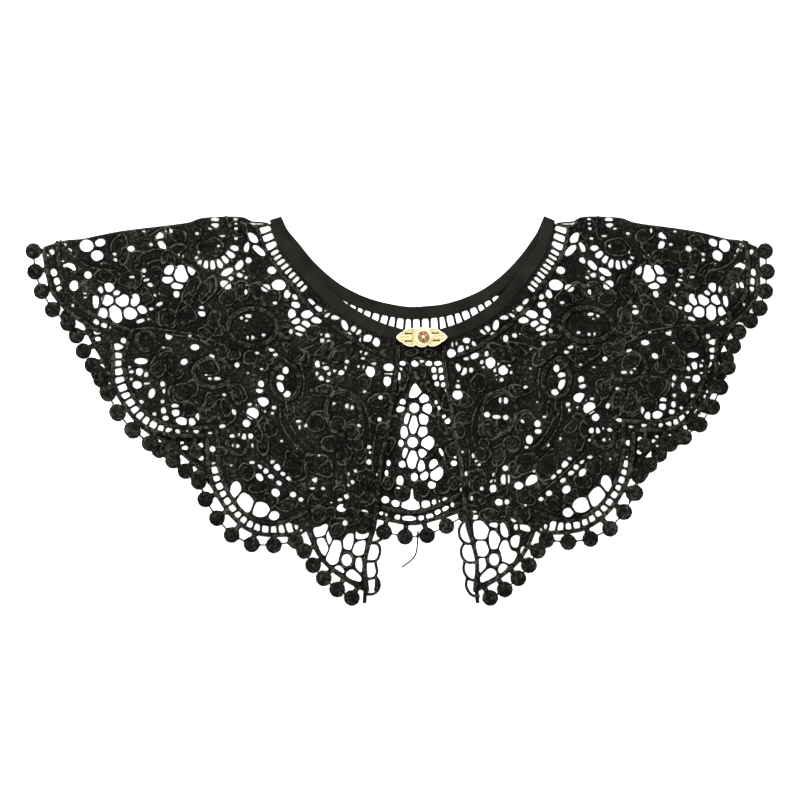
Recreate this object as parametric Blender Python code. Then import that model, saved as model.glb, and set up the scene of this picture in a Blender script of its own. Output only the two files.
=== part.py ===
"""A black guipure lace collar, closed by its gilt clasp and laid flat with both fronts folded over the back.

X runs across the collar, to the wearer's left shoulder; Y runs from the hem up to the shoulder folds; Z is up,
and the back panel rests on z = 0. The tables are in millimetres, drawn for the half at negative X and measured
from the centre front line and from the middle of the chest; half_turned() gives the other half. The part is
centred on its box at the end.
"""

import math

import bmesh
import bpy
import numpy as np
from mathutils.geometry import delaunay_2d_cdt

MM = 0.001

# Lace wall
GROUND = 1.0  # thickness of the embroidered ground
CORD_RISE = 0.8  # how far a raised cord stands above the ground
MOTIF_RISE = 0.95  # how far a padded petal or leaf stands above it
BALL_RISE = 1.0  # how far the middle of a hem ball stands above its rim
SEAM = 0.3  # clearance between pieces that meet
LAYER = GROUND + BALL_RISE + SEAM  # height of the fronts' underside over the back's
CORD_HALF = 1.4  # half width of a raised cord's foot
LIP = 1.2  # thickness of the turned edge along the shoulder fold
LEAST_BAR = 0.9  # narrowest bar left between two gaps
TRIMS = (1.0, 0.92, 0.84, 0.76)  # sizes that a gap is tried at until its bars are wide enough
NEIGHBOUR_REACH = 20.0  # gaps whose middles lie further apart than this can't touch
LONG_GAP = 3.5  # a gap with a longer half length than this has six sides, a shorter one five
GAPS_A_FRONT = 88
GAPS_IN_BACK = 124
RELIEF_CLEARANCE = 0.45  # how far the points of the relief keep from the edges
MOTIF_SHOULDER = 0.9  # where a motif's ring of points lies, as a share of its size
RING_STEP = 32  # degrees between the points of a raised ring

# Hem
BALL_RADIUS = 5.2
BALL_NECK = 1.8  # half width of the neck that joins a ball to its cord
NECK_SINK = 0.4  # how far the neck runs into the cord
BALL_ARC, BALL_CORNERS = 43, 7  # degrees between a ball's corners, and how many it has
EDGE_STEP = 9.0  # spacing of the outline's points on a plain edge
CORD_STEP = 7.0
FINE_STEP = 0.5
CURVE_STEPS = 12  # points of a curve between two given ones
LADDER_PITCH = 5.8

# Neck binding
BINDING_WIDTH = 8.0
BINDING_THICK = 1.7
BINDING_EASE = 0.45  # rounding of its edges
BINDING_STEP = 7.5
FRONT_EDGE_CLEARANCE = 1.0  # how far the fronts' neck edge stops short of the front edge
NECK_LADDER_DEPTH = 9.5  # how far the back's neck ladder reaches below its binding
NECK_LADDER_ENDS = (4, 6)  # points left off its two ends, where the fronts cover it
NECK_END_CLEARANCE = 3.0  # how far below the shoulder fold the back's neck edge ends

# Clasp
PLATE_THICK = 1.1
PLATE_CROWN = 0.5
CLASP_MIDDLE = (0.5, 48.0)
CLASP_TURN = 0.5  # degrees
CLASP_SPLIT = -5.8  # where the eye half meets the hook half
PAST_PLATE = (20.0, 9.0)  # half length and half width of a box that holds the whole plate
CROWN_STATIONS = (-14.5, -6.5, 0.0, 6.5, 14.5)  # points along the plate's crest
ROSETTE_RADIUS = 3.8

# Tolerances of the meshing
TINY, MERGE, ON_LINE = 1e-12, 1e-5, 1e-3

# How the other half lies: drawn in towards the middle past a reach, leaning in above a height, and a little
# higher below the shoulder
DRAW_FROM_REACH, DRAW_RATE = 110.0, 0.001
LEAN_FROM_Y, LEAN_RATE = 49.5, 0.15
LIFT, LIFT_REACHES, LIFT_HEIGHTS = 4.0, (75.0, 115.0), (30.0, 75.0)
BACK_TUCK, TUCK_REACHES = 4.5, (130.0, 165.0)  # the back's hem lies further in there

# Edges of the half pattern, each a curve through these points (x, y)
FOLD = (
    (-98.5, 121.5), (-111.0, 121.5), (-115.5, 126.0), (-129.5, 126.5), (-143.0, 125.5), (-150.0, 123.0),
    (-159.0, 121.5), (-176.0, 119.5), (-195.5, 117.0), (-208.5, 114.5), (-220.5, 112.0), (-231.5, 111.0),
    (-245.0, 107.0),
)
HEM_ONE = (
    (-245.0, 104.0), (-243.0, 90.5), (-240.0, 78.5), (-234.0, 70.0), (-227.5, 63.5), (-219.0, 57.5),
    (-210.0, 52.0),
)
HEM_TWO = (
    (-201.0, 45.0), (-200.0, 34.5), (-200.0, 19.5), (-195.5, 8.5), (-188.0, -2.5), (-179.5, -10.0),
    (-168.5, -14.5), (-156.5, -16.0), (-141.5, -16.5),
)
HEM_THREE = (
    (-139.0, -19.0), (-138.5, -30.5), (-136.0, -45.5), (-132.0, -54.5), (-127.0, -63.0), (-120.0, -71.0),
    (-113.0, -76.5), (-103.5, -80.0), (-91.0, -80.5), (-78.5, -79.5),
)
HEM_TIP = (
    (-73.5, -77.5), (-70.0, -86.0), (-65.0, -95.0), (-57.5, -103.0), (-48.5, -109.5), (-40.0, -114.5),
)
TIP = ((-37.5, -117.0), (-38.0, -125.0), (-35.5, -125.0))
FRONT_EDGE = (
    (-35.0, -116.5), (-36.5, -100.0), (-34.0, -87.0), (-30.5, -75.5), (-28.5, -59.0), (-26.0, -33.0),
    (-23.0, -19.0), (-21.0, -6.0), (-18.0, 11.0), (-15.5, 28.0), (-15.0, 41.5),
)
# The back's own hem: it turns in under the front at the end, and shows again between the scallops
BACK_FOLD = FOLD[:-1] + ((-238.0, 108.5),)
BACK_HEM = (
    (-234.5, 107.5), (-227.0, 101.0), (-222.5, 90.5), (-221.5, 78.5), (-221.0, 69.0), (-216.5, 52.5),
    (-212.0, 43.0), (-206.0, 32.5), (-200.0, 17.0), (-194.5, 7.0), (-186.5, -4.5), (-177.5, -13.0),
    (-166.0, -19.5), (-157.5, -25.5), (-147.5, -34.0), (-139.5, -42.5),
)
BACK_HEM_CENTRE = (
    (-49.5, -62.0), (-38.5, -66.5), (-26.5, -69.5), (-6.0, -73.0), (9.0, -70.0), (25.5, -64.5), (37.0, -58.0),
)
BACK_VALLEY = ((-78.0, -77.5), (-64.5, -71.0), (-49.5, -63.0))

# Middle lines of the neck binding, front from the fold to the clasp, and back from fold to fold
NECK_FRONT = (
    (-94.0, 123.5), (-91.5, 115.0), (-86.0, 104.5), (-74.0, 89.5), (-62.0, 76.5), (-49.0, 65.5), (-29.0, 54.5),
    (-8.5, 48.0),
)
NECK_BACK = (
    (-90.0, 115.5), (-82.5, 106.5), (-73.5, 95.5), (-62.5, 85.0), (-49.5, 76.0), (-32.0, 68.5), (-10.0, 64.0),
    (6.0, 64.5), (17.0, 66.0), (30.0, 70.0), (43.5, 76.5), (56.0, 86.0), (67.0, 97.5), (75.5, 109.0),
    (79.5, 115.5),
)

# Inner cords of the scalloped border, and the cord under the neck ladder
INNER_ONE = (
    (-236.5, 109.5), (-235.5, 98.0), (-234.0, 87.0), (-230.0, 77.5), (-223.0, 69.5), (-214.0, 63.0),
    (-202.0, 57.0), (-188.5, 52.0),
)
INNER_TWO = (
    (-188.5, 52.0), (-193.0, 36.0), (-193.0, 28.0), (-190.5, 17.5), (-186.0, 8.0), (-179.5, -0.5),
    (-171.0, -6.5), (-162.0, -10.0), (-150.0, -11.0), (-132.5, -10.5),
)
INNER_THREE = (
    (-132.5, -10.5), (-132.0, -22.0), (-131.5, -35.0), (-128.5, -45.5), (-124.5, -54.5), (-117.5, -64.0),
    (-108.5, -71.0), (-98.0, -73.5), (-87.0, -71.5), (-75.0, -65.5),
)
NECK_CORD = (
    (-107.0, 120.0), (-101.5, 105.5), (-95.5, 95.5), (-88.5, 87.0), (-80.5, 78.5), (-75.0, 70.0),
    (-67.0, 62.5), (-58.0, 56.0), (-46.0, 48.0), (-36.5, 41.5), (-23.5, 36.0),
)
INNER_CENTRE = (
    (-46.0, -54.0), (-36.5, -59.0), (-26.5, -62.5), (-6.0, -66.0), (10.5, -61.5), (22.0, -56.0), (32.0, -50.0),
)

# Rows of hem balls: how many, the cord they hang from, and the line through their centres
FRONT_BALLS = (
    (5, HEM_ONE, ((-252.0, 104.0), (-251.0, 91.0), (-247.0, 78.5), (-240.0, 66.5), (-229.5, 57.0))),
    (
        7,
        HEM_TWO,
        (
            (-209.5, 24.5), (-204.0, 12.5), (-197.0, -1.5), (-187.0, -13.0), (-175.5, -21.0), (-160.0, -24.5),
            (-147.0, -26.5),
        ),
    ),
    (
        7,
        HEM_THREE,
        (
            (-144.5, -43.5), (-140.0, -58.0), (-132.0, -70.5), (-122.5, -81.0), (-109.0, -87.0),
            (-97.0, -87.5), (-81.5, -84.5),
        ),
    ),
    (5, HEM_TIP, ((-76.0, -91.0), (-70.0, -100.5), (-63.0, -109.0), (-54.5, -116.0), (-45.0, -121.5))),
)
BACK_BALLS = (
    (4, BACK_HEM, ((-230.5, 88.5), (-231.0, 75.5), (-229.5, 62.0), (-224.0, 49.0))),
    (3, BACK_HEM, ((-219.5, 39.0), (-213.5, 29.5), (-208.0, 20.5))),
    (4, BACK_HEM, ((-204.0, 12.5), (-197.0, -1.5), (-187.0, -13.0), (-176.5, -21.0))),
    (4, BACK_HEM, ((-170.0, -25.5), (-161.5, -32.0), (-152.0, -40.0), (-144.5, -46.0))),
    FRONT_BALLS[2],
)
CENTRE_BALLS = (
    6,
    BACK_HEM_CENTRE,
    ((-38.0, -75.0), (-22.5, -79.0), (-7.5, -82.0), (5.0, -80.5), (17.0, -74.5), (29.0, -67.5)),
)

# Gaps in the ground of the half pattern: x, y, half length, half width, turn in degrees
SHARED_GAPS = (
    # net at the shoulder end
    (-217.5, 107.5, 4.5, 4.0, 0),
    (-208.5, 109.5, 3.5, 2.5, 15),
    (-210.5, 101.0, 4.0, 3.5, 0),
    (-227.5, 93.5, 5.5, 2.5, -18),
    (-216.5, 88.5, 2.5, 2.5, 0),
    (-225.5, 81.5, 3.5, 3.0, 70),
    (-218.0, 81.5, 3.5, 2.5, 90),
    (-218.5, 70.0, 2.5, 2.0, -60),
    (-211.5, 72.0, 5.5, 2.0, 90),
    (-208.0, 79.0, 2.5, 2.0, 60),
    (-203.0, 80.5, 3.5, 3.0, 0),
    (-197.5, 76.5, 2.5, 2.0, -20),
    (-204.0, 72.0, 4.0, 3.5, 0),
    (-194.0, 72.0, 4.5, 4.0, 20),
    (-186.0, 72.0, 4.5, 3.0, 80),
    (-207.0, 63.5, 3.5, 3.5, 0),
    (-198.5, 63.0, 6.0, 4.0, -70),
    (-189.0, 63.5, 4.5, 4.0, 0),
    (-181.5, 66.0, 3.5, 2.5, -30),
    (-188.5, 105.5, 2.5, 2.0, 0),
    (-169.5, 114.0, 4.0, 2.0, 45),
    (-168.5, 108.0, 4.0, 2.0, -55),
    # web round its oval eye
    (-163.5, 91.5, 4.0, 3.0, 45),
    (-156.0, 89.0, 6.0, 5.0, 90),
    (-150.0, 91.5, 3.5, 3.0, -45),
    (-164.5, 85.5, 4.0, 2.5, 5),
    (-158.5, 81.5, 4.0, 2.5, 0),
    (-159.0, 76.0, 2.5, 2.0, 90),
    # between the motifs of the shoulder
    (-142.5, 63.5, 2.5, 2.0, -30),
    (-165.0, 48.5, 3.5, 2.0, -5),
    (-147.0, 41.5, 3.0, 2.0, 0),
    (-154.0, 32.0, 2.5, 2.0, 30),
    (-182.0, 32.5, 4.5, 2.0, 0),
    (-183.0, 25.5, 2.5, 2.5, 0),
    (-184.5, 17.0, 3.0, 2.5, 0),
    (-175.0, 11.5, 3.5, 2.0, 70),
    (-126.0, 90.5, 4.5, 2.0, 30),
    (-118.0, 95.0, 4.0, 2.0, 50),
    (-112.5, 98.0, 2.5, 2.0, 0),
    (-127.0, 82.0, 4.0, 2.5, -30),
    (-109.5, 112.5, 4.5, 2.5, -45),
    (-113.0, 106.5, 3.5, 2.0, 70),
    (-105.5, 104.5, 5.5, 2.0, -42),
    # open net beside the neck
    (-97.0, 91.5, 3.0, 2.5, 0),
    (-92.5, 82.0, 4.5, 3.5, 0),
    (-101.0, 80.0, 3.0, 2.5, 0),
    (-87.0, 76.0, 3.0, 2.0, 70),
    (-84.0, 63.0, 3.5, 2.5, 90),
    (-74.0, 63.0, 4.0, 2.5, 10),
    (-81.5, 69.0, 3.0, 2.0, -15),
    (-81.5, 58.5, 3.0, 2.0, 10),
    (-75.0, 56.5, 3.0, 2.0, -20),
    (-68.0, 59.0, 3.5, 2.0, -10),
    (-78.5, 53.5, 3.5, 2.0, -5),
    # middle of the panel
    (-130.0, 32.0, 4.0, 2.0, -50),
    (-104.0, 17.5, 2.5, 2.0, 90),
    (-103.0, 6.0, 4.0, 3.0, 0),
    (-109.5, -1.5, 4.0, 4.0, 45),
    (-113.5, -8.0, 2.5, 2.5, 0),
    (-159.5, -1.0, 2.5, 2.5, 0),
    (-155.5, -6.5, 4.0, 2.5, -10),
    (-149.0, -7.0, 2.5, 2.5, 60),
    (-127.0, -13.5, 2.5, 2.0, 0),
    (-127.5, -34.0, 2.5, 2.0, 0),
    # wheel
    (-88.0, 26.5, 2.5, 2.0, 90),
    (-91.5, 21.5, 2.5, 2.0, 0),
    (-91.5, 16.0, 4.0, 2.0, -70),
    (-87.0, 11.0, 2.5, 2.0, 30),
    # large cells inside the third scallop
    (-120.5, -51.0, 5.5, 3.5, 82),
    (-114.0, -59.5, 7.0, 5.0, -55),
    (-104.5, -64.0, 6.0, 5.0, 0),
    (-95.5, -68.0, 3.5, 3.0, 20),
    (-105.0, -43.0, 3.0, 2.0, -50),
    (-94.5, -53.0, 3.0, 2.5, -40),
    (-78.0, -49.0, 4.0, 2.5, -30),
    (-71.0, -44.5, 3.5, 3.5, -30),
    (-55.5, -45.0, 4.0, 2.5, 90),
    (-63.5, -49.0, 2.5, 2.0, 90),
    (-51.5, -63.0, 3.5, 2.5, 10),
    (-83.5, -10.5, 2.5, 2.5, 0),
    (-81.0, -24.0, 3.0, 2.0, -30),
    # along the front edge, under the neck
    (-21.0, 28.5, 3.5, 2.5, 0),
    (-22.0, 19.5, 3.5, 2.5, 85),
    (-33.0, 26.0, 4.0, 3.0, -80),
    (-32.0, 34.5, 3.0, 2.0, 0),
    (-43.5, 36.5, 2.5, 2.5, 90),
    (-53.5, 29.5, 3.0, 2.0, 10),
)
# Gaps in the net of each front's tip, round its ring
TIP_GAPS = (
    (-65.5, -77.5, 5.0, 4.0, 20),
    (-64.5, -88.5, 6.5, 3.5, -62),
    (-56.0, -92.0, 8.5, 4.0, 76),
    (-47.0, -85.0, 5.5, 4.0, 88),
    (-39.0, -80.5, 4.5, 3.5, 0),
    (-40.0, -89.5, 5.5, 4.5, 70),
    (-48.0, -96.5, 4.5, 3.5, 90),
    (-40.5, -100.5, 5.0, 3.0, -80),
    (-52.5, -103.5, 4.0, 2.5, -30),
    (-44.5, -108.0, 5.5, 3.0, -38),
)
# Picot loops outside the front edge, above the tip: x, y, half height, half width of the gap, width of the loop
PICOTS = (
    (-29.5, -81.0, 3.5, 2.5, 1.2),
    (-31.0, -91.5, 5.0, 3.0, 1.2),
    (-31.5, -103.5, 4.5, 2.5, 1.2),
    (-32.5, -114.0, 4.0, 2.5, 1.2),
)
# Gaps of the back's middle column, which shows between the fronts
CENTRE_GAPS = (
    (-4.0, 11.0, 5.5, 4.0, 90),
    (2.0, 7.5, 3.0, 3.0, 0),
    (-4.5, 2.0, 4.0, 4.0, 0),
    (-12.0, 6.0, 2.0, 2.0, 0),
    (-13.5, 1.0, 3.0, 2.5, 20),
    (4.0, 2.0, 4.0, 3.0, 90),
    (-10.0, -5.0, 3.5, 2.0, 85),
    (-4.5, -9.0, 5.5, 3.0, 90),
    (1.5, -5.0, 4.0, 3.0, 90),
    (-11.5, -13.5, 4.5, 2.5, 90),
    (1.0, -13.5, 3.5, 3.0, 80),
    (-6.0, -20.5, 4.0, 4.0, 0),
    (-13.0, -21.0, 2.5, 2.0, 90),
    (4.0, -21.0, 4.5, 4.0, 0),
    (-10.5, -27.5, 4.0, 2.0, 75),
    (-5.5, -31.5, 5.5, 3.0, 85),
    (0.5, -27.0, 3.5, 2.5, 60),
    (-12.0, -35.0, 2.5, 2.5, 0),
    (0.0, -35.5, 4.0, 3.0, 80),
    (-4.5, -43.0, 3.0, 2.5, 90),
    (2.0, -42.0, 3.0, 2.5, 0),
    (-13.5, -45.0, 3.5, 2.5, 90),
    (-6.5, -60.0, 5.5, 3.0, 0),
    (-16.5, -60.0, 3.0, 2.5, 0),
    (3.0, -60.0, 4.0, 2.5, 10),
    (-24.0, -56.0, 3.0, 2.5, 0),
    (10.0, -57.5, 2.5, 2.0, 20),
    (-11.5, 31.0, 2.5, 2.0, 0),
    (-2.5, 31.5, 3.5, 2.0, 0),
)

# Padded motifs of the half pattern: name, x, y, half length, half width, turn in degrees
SHARED_MOTIFS = (
    ("shoulder flower", -125.0, 73.5, 5.5, 4.5, 60),
    ("shoulder flower", -117.5, 77.0, 5.5, 4.0, 100),
    ("shoulder flower", -107.0, 77.0, 5.5, 4.0, 80),
    ("shoulder flower", -100.0, 72.5, 5.0, 4.0, 50),
    ("shoulder flower", -135.0, 60.5, 5.5, 4.5, 30),
    ("shoulder flower", -136.0, 53.5, 5.5, 4.5, -10),
    ("shoulder flower", -129.5, 39.5, 5.5, 4.5, -45),
    ("shoulder flower", -122.0, 37.5, 5.0, 4.0, -70),
    ("shoulder flower", -110.5, 34.5, 5.5, 4.5, -95),
    ("shoulder flower", -101.0, 34.0, 5.5, 4.5, -75),
    ("bud", -165.5, 60.0, 7.0, 6.0, 140),
    ("bud", -153.0, 61.0, 7.0, 6.0, 40),
    ("blossom", -171.0, 29.0, 8.0, 5.5, 70),
    ("blossom", -166.0, 37.0, 5.0, 4.0, 100),
    ("blossom", -160.0, 26.0, 6.0, 4.5, -60),
    ("scroll heart", -138.0, 28.5, 7.0, 5.5, -20),
    ("trefoil", -159.0, 10.0, 6.5, 5.0, 120),
    ("trefoil", -150.0, 14.0, 6.0, 5.0, 40),
    ("trefoil", -149.5, 3.0, 6.0, 5.0, -50),
    ("tulip", -138.5, 0.0, 7.0, 6.0, -100),
    ("tulip", -128.5, 1.0, 8.0, 6.0, -75),
    ("tulip", -120.0, 12.5, 8.0, 5.0, -40),
    ("block leaf", -102.5, -17.0, 13.5, 5.0, 88),
    ("top leaf", -149.5, 79.5, 9.0, 4.0, 52),
    ("top leaf", -138.5, 79.0, 10.0, 4.5, 65),
    ("half scroll", -137.0, 106.5, 8.5, 6.0, 0),
    ("top block", -118.5, 118.0, 6.0, 6.0, 90),
    ("end leaf", -196.5, 107.0, 8.5, 5.0, 70),
    ("end leaf", -205.5, 87.0, 8.0, 4.5, -25),
    ("end leaf", -189.0, 97.0, 6.0, 4.0, 60),
    ("end leaf", -187.0, 86.5, 6.5, 6.0, 0),
    ("small bloom", -179.0, 75.5, 5.0, 4.0, -70),
    ("small bloom", -165.5, 78.5, 6.0, 4.5, 40),
    ("gate", -158.0, 114.0, 6.5, 4.5, -30),
    ("gate", -159.0, 105.5, 6.5, 3.0, 20),
    ("spray", -113.0, -39.0, 6.5, 5.0, -60),
    ("spray", -105.5, -49.0, 7.0, 4.5, 10),
    ("spray", -98.0, -58.0, 6.0, 4.5, -50),
    ("spray", -87.0, -61.0, 7.0, 4.0, 20),
    ("neck leaf", -81.0, 37.0, 11.0, 5.0, -40),
    ("neck leaf", -63.0, 40.5, 8.0, 3.0, 28),
    ("big leaf", -82.5, -36.0, 11.0, 7.0, -70),
)
FRONT_MOTIFS = (
    ("chest flower", -37.5, 18.0, 6.5, 5.0, 60),
    ("chest flower", -28.5, 7.0, 6.0, 4.5, 20),
    ("chest flower", -27.5, -5.5, 6.0, 4.5, -5),
    ("chest flower", -59.0, -21.0, 6.5, 5.0, -110),
    ("chest flower", -50.5, -29.5, 6.5, 4.5, -90),
    ("chest flower", -40.5, -27.5, 7.0, 4.5, -70),
    ("chest flower", -66.5, -4.5, 6.5, 5.0, 180),
    ("neck leaf", -52.5, 38.5, 10.0, 4.0, 30),
    ("pod", -64.5, 13.0, 8.5, 4.0, 0),
    ("pod", -45.0, -13.0, 8.0, 6.0, 30),
    ("big leaf", -66.5, -35.0, 11.0, 6.0, -35),
    ("hem flower", -68.0, -57.0, 6.5, 5.0, 20),
    ("hem flower", -66.0, -66.5, 6.0, 5.0, -30),
    ("hem flower", -54.5, -73.5, 6.0, 5.0, -20),
    ("hem flower", -44.0, -69.5, 6.5, 5.0, 60),
    ("hem flower", -36.5, -45.5, 6.0, 5.0, 0),
    ("hem flower", -36.5, -57.5, 6.0, 5.0, 0),
)
CENTRE_MOTIFS = (
    ("centre bud", -1.0, 27.0, 8.0, 5.0, 90),
    ("centre leaf", -11.0, 22.0, 9.0, 3.5, 80),
    ("centre leaf", 7.0, 8.0, 13.0, 4.0, -75),
    ("centre curl", -12.5, -51.5, 5.5, 4.5, -40),
    ("centre curl", 0.0, -50.0, 5.5, 5.0, 40),
)
# Raised rings and scrolls: x, y, half length, half width, turn, first and last angle
SHARED_RINGS = (
    (-109.5, 54.5, 16.0, 12.0, 0, 0, 360),
    (-87.5, 51.5, 4.0, 4.0, 0, 0, 360),
    (-135.5, 25.0, 12.5, 9.5, 0, 20, 330),
    (-88.0, 19.0, 9.0, 12.0, 0, 0, 360),
    (-119.0, -21.0, 7.0, 7.0, 0, 170, 370),
    (-179.0, 45.5, 6.0, 6.0, 0, 0, 300),
)
FRONT_RINGS = (
    (-50.5, -1.5, 11.0, 14.5, 15, 0, 360),
    (-48.0, -96.5, 5.5, 6.0, 0, 0, 360),
)


def ramp(value, low, high):
    return min(1.0, max(0.0, (value - low) / (high - low)))


def half_turned(points):
    """The same points on the other half, which doesn't lie quite as this one does."""
    turned = []
    for x, y in points:
        reach = -x
        drawn = DRAW_RATE * max(0.0, reach - DRAW_FROM_REACH) ** 2
        leaned = LEAN_RATE * max(0.0, y - LEAN_FROM_Y)
        lifted = LIFT * ramp(reach, *LIFT_REACHES) * (1 - ramp(y, *LIFT_HEIGHTS))
        turned.append((reach - drawn - leaned, y + lifted))
    return turned


def laid(points, turned, tuck=0.0):
    """The points as an array, on the half asked for; there the far ones are tucked in by so much."""
    points = np.array(half_turned(points) if turned else points, float)
    if turned and tuck:
        points[:, 0] -= tuck * np.clip(np.interp(points[:, 0], TUCK_REACHES, (0, 1)), 0, 1)
    return points


def smooth(points, spacing):
    """Points at an even spacing along a Catmull-Rom curve through the given ones."""
    route = [np.array(p, float) for p in points]
    ends = [2 * route[0] - route[1]] + route + [2 * route[-1] - route[-2]]
    fine = []
    for before, start, stop, after in zip(ends, ends[1:], ends[2:], ends[3:]):
        for i in range(CURVE_STEPS):
            t = i / CURVE_STEPS
            fine.append(
                0.5
                * (
                    2 * start
                    + (stop - before) * t
                    + (2 * before - 5 * start + 4 * stop - after) * t**2
                    + (3 * start - before - 3 * stop + after) * t**3
                )
            )
    fine.append(route[-1])
    fine = np.array(fine)
    run = run_along(fine)
    count = max(2, round(run[-1] / spacing) + 1)
    return point_at(fine, run, np.linspace(0.0, run[-1], count))


def run_along(line):
    return np.concatenate([[0.0], np.cumsum(np.linalg.norm(np.diff(line, axis=0), axis=1))])


def point_at(line, run, places):
    return np.column_stack([np.interp(places, run, line[:, axis]) for axis in range(line.shape[1])])


def shifted(path, distance):
    """The path moved to its left by distance, as seen walking along it."""
    path = np.array(path, float)
    along = np.gradient(path, axis=0)
    along /= np.linalg.norm(along, axis=1)[:, None]
    return path + distance * np.column_stack([-along[:, 1], along[:, 0]])


def oval(x, y, half_length, half_width, turn, sides):
    """A polygon about as large as the ellipse."""
    grown = math.sqrt(2 * math.pi / (sides * math.sin(2 * math.pi / sides))) if sides > 2 else 1.0
    across, up = math.cos(math.radians(turn)), math.sin(math.radians(turn))
    corners = []
    for i in range(sides):
        angle = 2 * math.pi * (i + 0.5) / sides
        u = grown * half_length * math.cos(angle)
        v = grown * half_width * math.sin(angle)
        corners.append((x + u * across - v * up, y + u * up + v * across))
    return np.array(corners)


def inside(points, polygon):
    """Which points lie inside the polygon, by the even-odd rule."""
    polygon = np.asarray(polygon, float)
    return inside_edges(np.asarray(points, float), polygon, np.roll(polygon, -1, axis=0))


def inside_edges(points, starts, stops):
    found = np.zeros(len(points), bool)
    for (x0, y0), (x1, y1) in zip(starts, stops):
        if y0 == y1:
            continue
        crosses = (points[:, 1] >= min(y0, y1)) & (points[:, 1] < max(y0, y1))
        at = x0 + (points[:, 1] - y0) * (x1 - x0) / (y1 - y0)
        found ^= crosses & (points[:, 0] < at)
    return found


def distance_to(points, line, closed=True):
    """The distance from each point to a polyline."""
    points = np.asarray(points, float)
    line = np.asarray(line, float)
    starts = line if closed else line[:-1]
    stops = np.roll(line, -1, axis=0) if closed else line[1:]
    span = stops - starts
    length = np.maximum((span**2).sum(axis=1), TINY)
    reach = ((points[:, None] - starts[None]) * span[None]).sum(axis=2) / length[None]
    nearest = starts[None] + np.clip(reach, 0, 1)[:, :, None] * span[None]
    return np.linalg.norm(points[:, None] - nearest, axis=2).min(axis=1)


def area_of(polygon):
    x, y = polygon[:, 0], polygon[:, 1]
    return abs(float((x * np.roll(y, -1) - y * np.roll(x, -1)).sum())) / 2


def apart(one, other, least):
    """Whether two polygons lie at least so far apart, neither inside the other."""
    if distance_to(one, other).min() < least or distance_to(other, one).min() < least:
        return False
    return not (inside(one[:1], other)[0] or inside(other[:1], one)[0])


def fitted(gaps, edge, most, kept=()):
    """Adds gaps to those kept, each made smaller until a bar is left beside it, up to so many in all."""
    kept = list(kept)
    for gap in gaps:
        if len(kept) >= most:
            break
        middle = gap.mean(axis=0)
        near = [other for other in kept if np.linalg.norm(other.mean(axis=0) - middle) < NEIGHBOUR_REACH]
        for scale in TRIMS:
            tried = middle + scale * (gap - middle)
            if not inside(tried, edge).all() or distance_to(tried, edge).min() < LEAST_BAR:
                continue
            if all(apart(tried, other, LEAST_BAR) for other in near):
                kept.append(tried)
                break
    return kept


def largest_first(gaps):
    return sorted(gaps, key=lambda gap: -area_of(gap))


def oval_gaps(rows):
    return [oval(x, y, a, b, turn, 6 if a > LONG_GAP else 5) for x, y, a, b, turn in rows]


def ladder(outer, inner, pitch=LADDER_PITCH, cord=0.9, rung=0.5, least=2.5, widest=11.0):
    """Four-sided gaps between two cords, one for each rung's pitch along the outer one."""
    outer = smooth(outer, pitch / 4)
    inner = smooth(inner, pitch / 4)
    gaps = []
    for first in range(0, len(outer) - 4, 4):
        a, b = outer[first], outer[first + 4]
        c = inner[np.linalg.norm(inner - b, axis=1).argmin()]
        d = inner[np.linalg.norm(inner - a, axis=1).argmin()]
        quad = np.array([a, b, c, d])
        middle = quad.mean(axis=0)
        across = (d + c - a - b) / 2
        along = (b + c - a - d) / 2
        width, length = np.linalg.norm(across), np.linalg.norm(along)
        if np.linalg.norm(c - d) < least or not least + 2 * cord < width < widest:
            continue
        basis = np.column_stack([along, across])
        local = np.linalg.solve(basis, (quad - middle).T).T
        gaps.append(middle + (local * (1 - 2 * rung / length, 1 - 2 * cord / width)) @ basis.T)
    return gaps


def ball_outline(centre, cord):
    """A hem ball with the short neck that joins it to its cord."""
    foot = cord[np.linalg.norm(cord - centre, axis=1).argmin()]
    out = (centre - foot) / np.linalg.norm(centre - foot)
    side = np.array([-out[1], out[0]])
    corners = [foot - BALL_NECK * side - NECK_SINK * out]
    for i in range(BALL_CORNERS):
        turn = math.radians(BALL_ARC * (i - BALL_CORNERS // 2))
        corners.append(centre + BALL_RADIUS * (math.cos(turn) * out + math.sin(turn) * side))
    corners.append(foot + BALL_NECK * side - NECK_SINK * out)
    return np.array(corners)


def ring_line(x, y, half_length, half_width, turn, first, last):
    across, up = math.cos(math.radians(turn)), math.sin(math.radians(turn))
    count = max(6, round((last - first) / RING_STEP))
    line = []
    for i in range(count + 1):
        angle = math.radians(first + (last - first) * i / count)
        u, v = half_length * math.cos(angle), half_width * math.sin(angle)
        line.append((x + u * across - v * up, y + u * up + v * across))
    return line


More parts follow.
